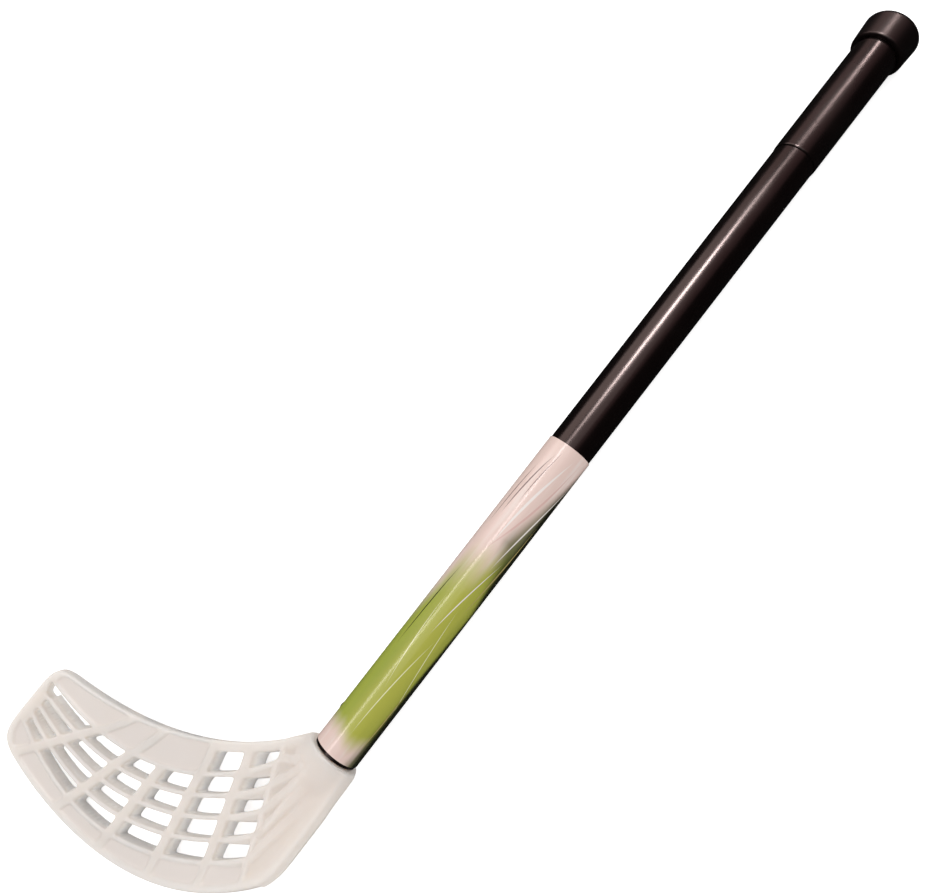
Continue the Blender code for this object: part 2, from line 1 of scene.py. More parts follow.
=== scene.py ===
"""A child's floorball stick with a milky lattice blade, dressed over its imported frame.

The stick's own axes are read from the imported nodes: X runs up the shaft from the tube's
lower end, Y points to the blade's toe and Z to the blade's hollow side. Sizes are in
millimetres in those axes, and each finished mesh is laid where the frame lies.
"""
from __future__ import annotations

import logging
import math
from dataclasses import dataclass
from enum import Enum
from functools import partial, reduce
from typing import Callable, Sequence, Union

import bmesh
import bpy
from mathutils import Matrix, Vector


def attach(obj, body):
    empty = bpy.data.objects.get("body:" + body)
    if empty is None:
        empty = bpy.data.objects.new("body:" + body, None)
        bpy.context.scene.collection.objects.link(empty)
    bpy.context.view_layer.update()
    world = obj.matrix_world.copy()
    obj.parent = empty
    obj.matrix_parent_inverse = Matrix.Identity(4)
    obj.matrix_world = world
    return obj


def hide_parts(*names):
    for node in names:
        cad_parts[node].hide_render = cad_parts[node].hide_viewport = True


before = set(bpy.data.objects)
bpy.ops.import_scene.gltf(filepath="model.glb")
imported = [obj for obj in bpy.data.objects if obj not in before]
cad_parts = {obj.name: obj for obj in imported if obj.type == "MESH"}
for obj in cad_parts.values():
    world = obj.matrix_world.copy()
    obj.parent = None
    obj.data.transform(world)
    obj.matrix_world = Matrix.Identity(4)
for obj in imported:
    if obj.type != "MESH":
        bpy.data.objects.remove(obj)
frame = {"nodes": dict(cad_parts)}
log = logging.getLogger("floorball_stick")

MM = 0.001
DEGREES = 180.0 / math.pi
RADIANS = math.pi / 180.0
BODY = "root"

Pair = tuple[float, float]
Triple = tuple[float, float, float]
Colour = tuple[float, float, float]


class Node(Enum):
    """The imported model's nodes."""

    BLADE = "blade"
    TUBE = "shaft_tube"
    FILM = "print_sleeve"
    GRIP = "grip_sleeve"
    KNOB = "end_cap"
    SCREW = "blade_screw"


class Slot(Enum):
    """The record's material slots."""

    BLADE = "blade_plastic"
    TUBE = "tube_plastic"
    FILM = "print_film"
    GRIP = "grip_plastic"
    KNOB = "cap_plastic"
    SCREW = "screw_steel"


# The stick's own axes


@dataclass(frozen=True)
class StickAxes:
    """Where the stick lies.

    Attributes:
        matrix: From the stick's axes, in metres, to the world.
    """

    RING_DEPTH = 0.2 * MM

    matrix: Matrix

    @classmethod
    def from_nodes(cls, nodes: dict[str, bpy.types.Object]) -> "StickAxes":
        """Read the axes from the tube's two ends and from the screw on the toe's side.

        Args:
            nodes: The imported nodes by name.

        Returns:
            The stick's axes.
        """
        tube = [point.co for point in nodes[Node.TUBE.value].data.vertices]
        low = cls.ring_centre(tube, min(point.x for point in tube))
        high = cls.ring_centre(tube, max(point.x for point in tube))
        along = (high - low).normalized()
        corners = nodes[Node.SCREW.value].data.vertices
        screw = {tuple(round(value, 6) for value in point.co) for point in corners}
        middle = sum((Vector(point) for point in screw), Vector()) / len(screw)
        toe = middle - low
        toe = (toe - along * toe.dot(along)).normalized()
        turn = Matrix((along, toe, along.cross(toe))).transposed()
        return cls(Matrix.Translation(low) @ turn.to_4x4())

    @staticmethod
    def ring_centre(points: Sequence[Vector], station: float) -> Vector:
        """The centre of the tube's end ring at a world x.

        Args:
            points: The tube's corners.
            station: The ring's outermost world x.

        Returns:
            The ring's centre.
        """
        ring = [point for point in points if abs(point.x - station) < StickAxes.RING_DEPTH]
        low = Vector([min(point[axis] for point in ring) for axis in range(3)])
        high = Vector([max(point[axis] for point in ring) for axis in range(3)])
        return (low + high) / 2

    def extent(self, node: Node) -> Triple:
        """How a node lies along the shaft.

        Args:
            node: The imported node.

        Returns:
            Its lowest and highest station and its largest radius, in millimetres.
        """
        inverse = self.matrix.inverted()
        points = [inverse @ point.co / MM for point in frame["nodes"][node.value].data.vertices]
        radius = max(math.hypot(point.y, point.z) for point in points)
        return min(point.x for point in points), max(point.x for point in points), radius

    def lay(self, item: bpy.types.Object) -> bpy.types.Object:
        """Move a piece's mesh from millimetres in the stick's axes to its place in the world.

        Args:
            item: The piece.

        Returns:
            The same piece.
        """
        item.data.transform(self.matrix @ Matrix.Scale(MM, 4))
        item.data.update()
        return item


# Formulas in node trees


def operator(operation: str, turned_round: bool = False) -> Callable[["Formula", "Number"], "Formula"]:
    """Make one of Python's operators for formulas.

    Args:
        operation: The Math node's operation.
        turned_round: Whether the formula stands on the operator's right.

    Returns:
        The operator's method.
    """
    def work_out(self: "Formula", other: "Number") -> "Formula":
        """Work it out with one Math node."""
        return self.plan.math(operation, *((other, self) if turned_round else (self, other)))

    return work_out


class Formula:
    """A number that nodes work out at each point, written with Python's operators."""

    def __init__(self, plan: "Plan", socket: bpy.types.NodeSocket) -> None:
        """Hold the socket that gives the number, in the plan's tree."""
        self.plan = plan
        self.socket = socket

    __add__, __radd__ = operator("ADD"), operator("ADD", True)
    __sub__, __rsub__ = operator("SUBTRACT"), operator("SUBTRACT", True)
    __mul__, __rmul__ = operator("MULTIPLY"), operator("MULTIPLY", True)
    __truediv__, __rtruediv__ = operator("DIVIDE"), operator("DIVIDE", True)
    __pow__ = operator("POWER")

    def __neg__(self) -> "Formula":
        """The number with its sign turned."""
        return self.plan.math("SUBTRACT", 0.0, self)

    def __abs__(self) -> "Formula":
        """The number without its sign."""
        return self.plan.math("ABSOLUTE", self)


Number = Union[Formula, float]


class Plan:
    """A node tree that is written as formulas."""

    def __init__(self, tree: bpy.types.NodeTree) -> None:
        """Write into a geometry or shader tree."""
        self.tree = tree

    def node(self, kind: str, **settings: object) -> bpy.types.Node:
        """Add a node.

        Args:
            kind: The node's type name.
            **settings: Properties to set on it.

        Returns:
            The node.
        """
        made = self.tree.nodes.new(kind)
        for name, value in settings.items():
            setattr(made, name, value)
        return made

    def feed(self, socket: bpy.types.NodeSocket, value: object) -> None:
        """Give an input socket what it reads.

        Args:
            socket: The input.
            value: A formula, another socket or a plain value.
        """
        if isinstance(value, Formula):
            self.tree.links.new(value.socket, socket)
        elif isinstance(value, bpy.types.NodeSocket):
            self.tree.links.new(value, socket)
        else:
            socket.default_value = value

    def output(self, kind: str, inputs: dict[str, object], **settings: object) -> bpy.types.NodeSocket:
        """Add a node and feed it.

        Args:
            kind: The node's type name.
            inputs: What its input sockets get, by name.
            **settings: Properties to set on it.

        Returns:
            Its first output.
        """
        made = self.node(kind, **settings)
        for name, value in inputs.items():
            self.feed(made.inputs[name], value)
        return made.outputs[0]

    def parts(self, vector: bpy.types.NodeSocket) -> tuple[Formula, Formula, Formula]:
        """Take a vector apart.

        Args:
            vector: The vector's socket.

        Returns:
            Its three numbers.
        """
        split = self.node("ShaderNodeSeparateXYZ")
        self.feed(split.inputs[0], vector)
        return tuple(Formula(self, split.outputs[axis]) for axis in range(3))

    def math(self, operation: str, *values: Number) -> Formula:
        """Work out a number with one Math node.

        Args:
            operation: The Math node's operation.
            *values: Its inputs in order.

        Returns:
            The result.
        """
        made = self.node("ShaderNodeMath", operation=operation)
        for socket, value in zip(made.inputs, values):
            self.feed(socket, value)
        return Formula(self, made.outputs[0])

    def least(self, *values: Number) -> Formula:
        """The smallest of several numbers."""
        return reduce(partial(self.math, "MINIMUM"), values)

    def most(self, *values: Number) -> Formula:
        """The largest of several numbers."""
        return reduce(partial(self.math, "MAXIMUM"), values)

    def soft_least(self, first: Number, second: Number, radius: float) -> Formula:
        """The smaller of two distances, with the right angle between them rounded to a radius."""
        return self.math("SMOOTH_MIN", first, second, radius * corner_reach(90.0))

    def soft_most(self, first: Number, second: Number, radius: float, corner: float = 90.0) -> Formula:
        """The larger of two distances, with the corner of so many degrees rounded to a radius."""
        return self.math("SMOOTH_MAX", first, second, radius * corner_reach(corner))

    def length(self, *sides: Number) -> Formula:
        """The length of a step with these sides."""
        squares = [self.math("MULTIPLY", side, side) for side in sides]
        return self.math("SQRT", sum(squares[1:], squares[0]))

    def distance(self, x: Formula, y: Formula, centre: Pair) -> Formula:
        """How far a point is from a centre."""
        return self.length(x - centre[0], y - centre[1])

    def held(self, value: Number) -> Formula:
        """A number kept between 0 and 1."""
        return self.math("MINIMUM", self.math("MAXIMUM", value, 0.0), 1.0)

    def ramp(self, value: Number, start: Number, end: Number) -> Formula:
        """A smooth rise from 0 at start to 1 at end."""
        limits = {"Value": value, "From Min": start, "From Max": end}
        return Formula(self, self.output("ShaderNodeMapRange", limits, interpolation_type="SMOOTHSTEP"))

    def blend(self, share: Number, first: Number, second: Number) -> Formula:
        """The first number where share is 0 and the second where it is 1."""
        return self.math("MULTIPLY_ADD", share, self.math("SUBTRACT", second, first), first)


def corner_reach(corner: float) -> float:
    """How many radii a smooth minimum or maximum spans to round a corner of this angle."""
    return 6.0 * (1.0 - math.sin(math.radians(corner) / 2))


class ShapePlan(Plan):
    """A Geometry Nodes tree with named sizes, which ends in one mesh with its material."""

    def __init__(self, name: str) -> None:
        """Start the tree.

        Args:
            name: The tree's name.
        """
        super().__init__(bpy.data.node_groups.new(name, "GeometryNodeTree"))
        self.tree.interface.new_socket("Mesh", in_out="OUTPUT", socket_type="NodeSocketGeometry")
        self.entry = self.node("NodeGroupInput")
        self.sizes: dict[str, float] = {}

    def size(self, name: str, value: float) -> Formula:
        """A named input of the tree.

        Args:
            name: The input's name.
            value: What it is set to.

        Returns:
            The input as a number.
        """
        socket = self.tree.interface.new_socket(name, in_out="INPUT", socket_type="NodeSocketFloat")
        self.sizes[socket.identifier] = value
        return Formula(self, self.entry.outputs[name])

    def place(self) -> tuple[Formula, Formula, Formula]:
        """The point's coordinates."""
        return self.parts(self.output("GeometryNodeInputPosition", {}))

    def finish(self, mesh: bpy.types.NodeSocket, material: bpy.types.Material) -> None:
        """End the tree in Realize Instances and Set Material.

        Args:
            mesh: The finished shape's socket.
            material: Its material.
        """
        real = self.output("GeometryNodeRealizeInstances", {"Geometry": mesh})
        dressed = self.output("GeometryNodeSetMaterial", {"Geometry": real, "Material": material})
        self.feed(self.node("NodeGroupOutput").inputs[0], dressed)

    def grow(self, name: str, most_triangles: int) -> bpy.types.Object:
        """Run the tree and keep its result as a plain mesh.

        Args:
            name: The object's name.
            most_triangles: The mesh is thinned to this many triangles.

        Returns:
            The finished object.
        """
        item = bpy.data.objects.new(name, bpy.data.meshes.new(name))
        bpy.context.scene.collection.objects.link(item)
        modifier = item.modifiers.new("shape", "NODES")
        modifier.node_group = self.tree
        for identifier, value in self.sizes.items():
            modifier[identifier] = value
        item.data = plain_mesh(item)
        item.modifiers.clear()
        triangles = sum(len(face.vertices) - 2 for face in item.data.polygons)
        if triangles > most_triangles:
            thinner = item.modifiers.new("thinner", "DECIMATE")
            thinner.ratio = most_triangles / triangles
            item.data = plain_mesh(item)
            item.modifiers.clear()
        item.data.name = name
        item.data.shade_smooth()
        return item


def plain_mesh(item: bpy.types.Object) -> bpy.types.Mesh:
    """Take an object's mesh with its modifiers applied.

    Args:
        item: The object.

    Returns:
        The plain mesh.
    """
    bpy.context.view_layer.update()
    graph = bpy.context.evaluated_depsgraph_get()
    return bpy.data.meshes.new_from_object(item.evaluated_get(graph), depsgraph=graph)


# Finishes


class Paint(Plan):
    """A material that is written as formulas."""

    def __init__(self, name: str) -> None:
        """Start a material with a Principled shader.

        Args:
            name: The material's name.
        """
        self.material = bpy.data.materials.new(name)
        self.material.use_nodes = True
        super().__init__(self.material.node_tree)
        self.shader = self.tree.nodes["Principled BSDF"]

    def set(self, **values: object) -> "Paint":
        """Set the shader's inputs, with _ for a space in a name.

        Args:
            **values: Plain values, formulas or sockets by input name.

        Returns:
            This paint.
        """
        for name, value in values.items():
            self.feed(self.shader.inputs[name.replace("_", " ")], value)
        return self

    def coordinates(self, kind: str = "Object") -> bpy.types.NodeSocket:
        """Object coordinates or the piece's UV map."""
        return self.node("ShaderNodeTexCoord").outputs[kind]

    def stretched(self, vector: bpy.types.NodeSocket, scale: Triple) -> bpy.types.NodeSocket:
        """Coordinates times a scale for each axis."""
        return self.output("ShaderNodeMapping", {"Vector": vector, "Scale": scale})

    def noise(self, vector: bpy.types.NodeSocket, scale: float, detail: float = 2.0) -> Formula:
        """Smooth noise from 0 to 1.

        Args:
            vector: The coordinates it reads.
            scale: How many lumps it has to a unit.
            detail: How many finer layers it has.

        Returns:
            The noise.
        """
        inputs = {"Vector": vector, "Scale": scale, "Detail": detail}
        return Formula(self, self.output("ShaderNodeTexNoise", inputs))

    def attribute(self, name: str) -> Formula:
        """A number that the mesh carries."""
        return Formula(self, self.node("ShaderNodeAttribute", attribute_name=name).outputs["Fac"])

    def between(self, share: Number, first: object, second: object) -> bpy.types.NodeSocket:
        """Mix two colours.

        Args:
            share: 0 gives the first colour and 1 the second.
            first: A colour or a colour socket.
            second: A colour or a colour socket.

        Returns:
            The mixed colour.
        """
        mix = self.node("ShaderNodeMix", data_type="RGBA")
        self.feed(mix.inputs["Factor"], share)
        colours = [socket for socket in mix.inputs if socket.type == "RGBA"]
        for socket, value in zip(colours, (first, second)):
            self.feed(socket, (*value, 1.0) if isinstance(value, tuple) else value)
        return [socket for socket in mix.outputs if socket.type == "RGBA"][0]

    def bump(self, height: Formula, depth: float) -> "Paint":
        """Raise the surface by a height from 0 to 1 times a depth in millimetres."""
        return self.set(Normal=self.output("ShaderNodeBump", {"Distance": depth * MM, "Height": height}))


@dataclass(frozen=True)
class MilkyPlastic:
    """The blade's moulded polyethylene: pale, warm and slightly see-through.

    Attributes:
        thick: The ribs and the rim.
        thin: The panels.
        cloud: The faint clouds in the moulding.
        inside: The windows' walls, painted lighter: painted light that stands in for the light the
            plastic lets through.
        cloud_scale: How many clouds there are to a metre.
        cloud_range: Where the cloud noise starts to show and is full.
        cloud_share: How strong the clouds are.
        sheen_scale: How many patches of a like gloss there are to a metre.
        roughness: The least roughness and its range.
        glow_depth: How far light goes in, in millimetres.
        glow_colour: How far red, green and blue go of that.
        glow: How much of the light goes in at a rib, and how much less on a panel.
        specular: The shader's specular level.
        ripple_scale: How many of the mould's ripples there are to a metre.
        grain_scale: How many grains there are to a metre.
        grain_share: The grain's height as a share of the ripple's.
        relief: The ripple's height in millimetres.
    """

    thick: Colour = (0.765, 0.705, 0.662)
    thin: Colour = (0.785, 0.718, 0.675)
    cloud: Colour = (0.77, 0.695, 0.635)
    inside: Colour = (1.0, 0.95, 0.90)
    cloud_scale: float = 45.0
    cloud_range: Pair = (0.35, 0.8)
    cloud_share: float = 0.4
    sheen_scale: float = 120.0
    roughness: Pair = (0.36, 0.14)
    glow_depth: float = 16.0
    glow_colour: Colour = (1.0, 0.94, 0.88)
    glow: Pair = (0.95, 0.75)
    specular: float = 0.35
    ripple_scale: float = 160.0
    grain_scale: float = 1400.0
    grain_share: float = 0.3
    relief: float = 0.12

    def material(self) -> bpy.types.Material:
        """Make the finish.

        Returns:
            The material.
        """
        paint = Paint(Slot.BLADE.value)
        place = paint.coordinates()
        web = paint.attribute(Blade.WEB_ATTRIBUTE)
        wall = paint.attribute(Blade.PAINTED_LIGHT_WALL_ATTRIBUTE)
        clouds = paint.ramp(paint.noise(place, self.cloud_scale, 3.0), *self.cloud_range)
        colour = paint.between(web, self.thick, self.thin)
        colour = paint.between(clouds * self.cloud_share, colour, self.cloud)
        # Painted light: the windows' walls are blended towards a lighter colour that stands in for the
        # light the plastic lets through.
        colour = paint.between(wall, colour, self.inside)
        least, span = self.roughness
        glow, loss = self.glow
        paint.set(Base_Color=colour, Roughness=paint.noise(place, self.sheen_scale) * span + least,
                  Subsurface_Weight=glow - web * loss, Subsurface_Scale=self.glow_depth * MM,
                  Subsurface_Radius=self.glow_colour, Specular_IOR_Level=self.specular)
        grain = paint.noise(place, self.grain_scale) * self.grain_share
        paint.bump(grain + paint.noise(place, self.ripple_scale), self.relief)
        return paint.material


@dataclass(frozen=True)
class BlackPlastic:
    """Brown-black plastic of the tube, the grip and the knob.

    Attributes:
        slot: The record's slot.
        roughness: The least roughness.
        grain: The fine grain's height in millimetres.
        colour: The base colour.
        brown: How many times as bright the smudges are.
        tint: The tint of what it reflects.
        smudge_scale: How many smudges there are to a metre.
        smudge_range: Where the smudge noise starts to dull the gloss and is full.
        smudge_roughness: How much rougher a smudge is.
        grain_scale: How many grains there are to a metre.
    """

    slot: Slot
    roughness: float
    grain: float
    colour: Colour = (0.0020, 0.0010, 0.0010)
    brown: float = 1.6
    tint: tuple[float, float, float, float] = (1.0, 0.80, 0.77, 1.0)
    smudge_scale: float = 38.0
    smudge_range: Pair = (0.3, 0.75)
    smudge_roughness: float = 0.06
    grain_scale: float = 2200.0

    def material(self) -> bpy.types.Material:
        """Make the finish.

        Returns:
            The material.
        """
        paint = Paint(self.slot.value)
        place = paint.coordinates()
        smudges = paint.noise(place, self.smudge_scale, 3.0)
        brown = tuple(value * self.brown for value in self.colour)
        dull = paint.ramp(smudges, *self.smudge_range) * self.smudge_roughness
        paint.set(Base_Color=paint.between(smudges, self.colour, brown), Roughness=dull + self.roughness,
                  Specular_Tint=self.tint)
        paint.bump(paint.noise(place, self.grain_scale) * self.grain, 1.0)
        return paint.material


@dataclass(frozen=True)
class ZincSteel:
    """The screw's plated steel, with faint stains and a fine grain.

    Attributes:
        colour: The plating.
        stain: The stains.
        stain_scale: How many stains there are to a metre.
        roughness: The least roughness and its range.
        grain_scale: How many grains there are to a metre.
        grain: The grain's height in millimetres.
    """

    colour: Colour = (0.62, 0.61, 0.58)
    stain: Colour = (0.45, 0.43, 0.38)
    stain_scale: float = 900.0
    roughness: Pair = (0.24, 0.2)
    grain_scale: float = 4000.0
    grain: float = 0.01

    def material(self) -> bpy.types.Material:
        """Make the finish.

        Returns:
            The material.
        """
        paint = Paint(Slot.SCREW.value)
        place = paint.coordinates()
        stains = paint.noise(place, self.stain_scale, 3.0)
        least, span = self.roughness
        paint.set(Base_Color=paint.between(stains * 0.5, self.colour, self.stain), Metallic=1.0,
                  Roughness=stains * span + least)
        paint.bump(paint.noise(place, self.grain_scale), self.grain)
        return paint.material


@dataclass(frozen=True)
class Streak:
    """One brush line of the film's print.

    Attributes:
        turn: Where it is round the tube at the middle of its run, as a share from the front.
        slope: How far round it goes in one film length.
        bend: How much the slope changes.
        start: Where it starts along the film, as a share.
        end: Where it ends.
        width: Its half width round the tube, as a share.
        colour: Its colour.
    """

    turn: float
    slope: float
    bend: float
    start: float
    end: float
    width: float
    colour: Colour


CREAM = (0.80, 0.80, 0.50)
WHITE = (0.85, 0.79, 0.76)
ROSE = (0.70, 0.47, 0.43)
DUSK = (0.19, 0.13, 0.12)
TAN = (0.42, 0.33, 0.12)
SMOKE = (0.030, 0.036, 0.010)


@dataclass(frozen=True)
class PrintedFilm:
    """A glossy film with a generic print: pale pink ends, a green middle and brush lines.

    In the formulas, along is the share of the film's length from its lower end, and turn the
    share of a turn from the side that faces up. The ramps' limits are such shares.

    Attributes:
        front: The UV map's share of a turn at the side that faces up.
        pink: The ends.
        lime: The green where it is lightest.
        leaf: The green at its side.
        olive_and_shade: The darker green at its other side, partly print and partly painted shade on the
            side turned from the light.
        wedge_print_and_shade: The dark wedges, partly print and partly painted shade along the film's
            sides.
        edge_print_and_shade: The wedges' near black at the edge, partly print and partly painted shade
            where the film turns away.
        brush_scale: The print's broad brush marks to a metre, along and across the shaft.
        fibre_scale: Its fine brush marks.
        streaks: The brush lines.
        roughness: The film's least roughness and its range.
        coat: How strong the gloss over the print is, and how rough.
        ripple_scale: How many ripples the film has to a metre.
        ripple: Their height in millimetres.
    """

    front: float = 0.342
    pink: Colour = (0.78, 0.60, 0.545)
    lime: Colour = (0.43, 0.44, 0.065)
    leaf: Colour = (0.32, 0.38, 0.055)
    olive_and_shade: Colour = (0.24, 0.28, 0.035)
    wedge_print_and_shade: Colour = (0.085, 0.10, 0.018)
    edge_print_and_shade: Colour = (0.014, 0.016, 0.005)
    brush_scale: Triple = (9.0, 70.0, 70.0)
    fibre_scale: Triple = (16.0, 260.0, 260.0)
    roughness: Pair = (0.25, 0.03)
    coat: Pair = (0.35, 0.1)
    ripple_scale: float = 90.0
    ripple: float = 0.012
    streaks: tuple[Streak, ...] = (
        Streak(0.02, 0.22, 0.6, 0.06, 0.40, 0.0045, CREAM),
        Streak(0.10, -0.30, 0.5, 0.14, 0.50, 0.0035, CREAM),
        Streak(-0.05, -0.18, 0.7, 0.20, 0.52, 0.0030, CREAM),
        Streak(0.05, 0.42, 0.8, 0.38, 0.66, 0.0050, WHITE),
        Streak(0.14, 0.10, -0.9, 0.03, 0.26, 0.0060, TAN),
        Streak(-0.13, 0.12, 0.4, 0.30, 0.60, 0.0060, SMOKE),
        Streak(0.15, 0.22, -0.5, 0.46, 0.80, 0.0080, TAN),
        Streak(0.06, 0.55, -1.0, 0.62, 0.99, 0.0100, ROSE),
        Streak(0.00, 0.35, 0.9, 0.66, 0.99, 0.0120, WHITE),
        Streak(0.12, 0.45, 0.6, 0.60, 0.94, 0.0080, WHITE),
        Streak(-0.10, 0.28, 1.2, 0.74, 0.97, 0.0070, DUSK),
        Streak(-0.15, 0.16, 0.9, 0.70, 0.93, 0.0050, DUSK),
        Streak(-0.05, 0.22, 1.0, 0.80, 0.985, 0.0040, DUSK),
        Streak(0.32, 0.25, 0.5, 0.10, 0.55, 0.0060, CREAM),
        Streak(0.42, -0.25, 0.8, 0.25, 0.70, 0.0050, CREAM),
        Streak(-0.34, 0.30, 0.4, 0.15, 0.60, 0.0060, WHITE),
        Streak(0.45, 0.35, 0.7, 0.62, 0.97, 0.0090, ROSE),
        Streak(-0.30, 0.30, 0.6, 0.66, 0.96, 0.0070, DUSK),
    )

    def material(self) -> bpy.types.Material:
        """Make the finish.

        Returns:
            The material.
        """
        paint = Paint(Slot.FILM.value)
        place = paint.coordinates()
        turn, along, _ = paint.parts(paint.coordinates("UV"))
        turn = self.wrapped(paint, turn - self.front)
        brush = paint.noise(paint.stretched(place, self.brush_scale), 1.0, 3.0) - 0.5
        fibre = paint.noise(paint.stretched(place, self.fibre_scale), 1.0, 2.0)
        colour = paint.between(paint.ramp(fibre, 0.5, 0.8) * 0.5, self.pink, WHITE)
        lower = paint.ramp(along + brush * 0.10, 0.025, 0.09)
        climb = abs(self.wrapped(paint, turn + 0.25)) * 0.8
        upper = 1.0 - paint.ramp(along + brush * 0.30 - climb, 0.30, 0.52)
        colour = paint.between(lower * upper, colour, self.greens(paint, turn, brush, fibre))
        # The dark wedges are partly print and partly painted shade, and darken to near black towards the
        # edge.
        wedge = self.wedges(paint, turn + brush * 0.10, along)
        colour = paint.between(wedge * 0.85, colour, self.wedge_print_and_shade)
        colour = paint.between(wedge * paint.ramp(turn, 0.11, 0.18), colour, self.edge_print_and_shade)
        for streak in self.streaks:
            colour = paint.between(self.mask(paint, streak, turn, along), colour, streak.colour)
        least, span = self.roughness
        weight, coat_roughness = self.coat
        paint.set(Base_Color=colour, Roughness=paint.noise(place, 60.0) * span + least,
                  Coat_Weight=weight, Coat_Roughness=coat_roughness)
        paint.bump(paint.noise(place, self.ripple_scale, 1.0), self.ripple)
        return paint.material

    @staticmethod
    def wrapped(paint: Paint, turn: Formula) -> Formula:
        """A share of a turn, kept between half a turn back and half a turn on."""
        return paint.math("WRAP", turn, 0.5, -0.5)

    def greens(self, paint: Paint, turn: Formula, brush: Formula, fibre: Formula) -> bpy.types.NodeSocket:
        """The green middle, lightest at the front and darker towards its sides: partly print, partly
        painted shade.

        Args:
            paint: The material's plan.
            turn: The share round the tube from the front.
            brush: The broad brush marks.
            fibre: The fine brush marks.

        Returns:
            The green's colour.
        """
        green = paint.between(paint.ramp(turn + brush * 0.25, -0.22, 0.0), self.leaf, self.lime)
        # Partly painted shade: the green darkens to olive on the side turned from the light.
        green = paint.between(paint.ramp(turn + brush * 0.2, 0.02, 0.20), green, self.olive_and_shade)
        return paint.between(paint.ramp(fibre, 0.45, 0.75) * 0.3, green, self.lime)

    @staticmethod
    def wedges(paint: Paint, turn: Formula, along: Formula) -> Formula:
        """Dark wedges that reach in from the sides: partly print, partly painted shade.

        Args:
            paint: The material's plan.
            turn: The share round the tube from the front.
            along: The share along the film.

        Returns:
            1 in the wedges and 0 elsewhere.
        """
        low = paint.ramp(turn - along * 0.16 - 0.075, 0.0, 0.06)
        low = low * (1.0 - paint.ramp(turn, 0.32, 0.42)) * (1.0 - paint.ramp(along, 0.42, 0.60))
        high = paint.ramp(turn - abs(along - 0.70) * 0.70 + 0.01, 0.0, 0.11)
        left = paint.ramp(-turn - abs(along - 0.48) * 0.8 - 0.20, 0.0, 0.05)
        return paint.most(low, high * (1.0 - paint.ramp(turn, 0.3, 0.4)),
                          left * (1.0 - paint.ramp(-turn, 0.3, 0.4)))

    @staticmethod
    def mask(paint: Paint, streak: Streak, turn: Formula, along: Formula) -> Formula:
        """Where a brush line shows.

        Args:
            paint: The material's plan.
            streak: The brush line.
            turn: The share round the tube from the front.
            along: The share along the film.

        Returns:
            1 on the line and 0 off it, with soft edges and thin ends.
        """
        middle = (streak.start + streak.end) / 2
        half = (streak.end - streak.start) / 2
        step = along - middle
        line = step * streak.slope + step * step * streak.bend + streak.turn
        width = paint.held(1.0 - (step / half) ** 2.0) * streak.width
        off = abs(PrintedFilm.wrapped(paint, turn - line))
        return paint.ramp(width - off, 0.0, streak.width * 0.6)


# The blade


@dataclass
class RibPoint:
    """A point of the flat blade, and where it lies among the ribs.

    Attributes:
        plan: The blade's tree.
        x: The point's station.
        y: Its distance from the shaft towards the toe.
        z: Its height on the hollow side.
        edge: Its distance past the blade's outline, less than 0 inside it.
        deep: How far back it lies, from 0 at the front face to 1 at the back.
        radius: Its distance from the ribs' centre.
        degrees: Its bearing from there.
        past: Its distance past each cross rib's middle, towards the toe.
        below: Its distance below each long rib's middle.
    """

    plan: ShapePlan
    x: Formula
    y: Formula
    z: Formula
    edge: Formula
    deep: Formula
    radius: Formula
    degrees: Formula
    past: list[Formula]
    below: list[Formula]

    def arc(self, degrees: Formula) -> Formula:
        """The length of so many degrees at the point's radius."""
        return degrees * RADIANS * self.radius


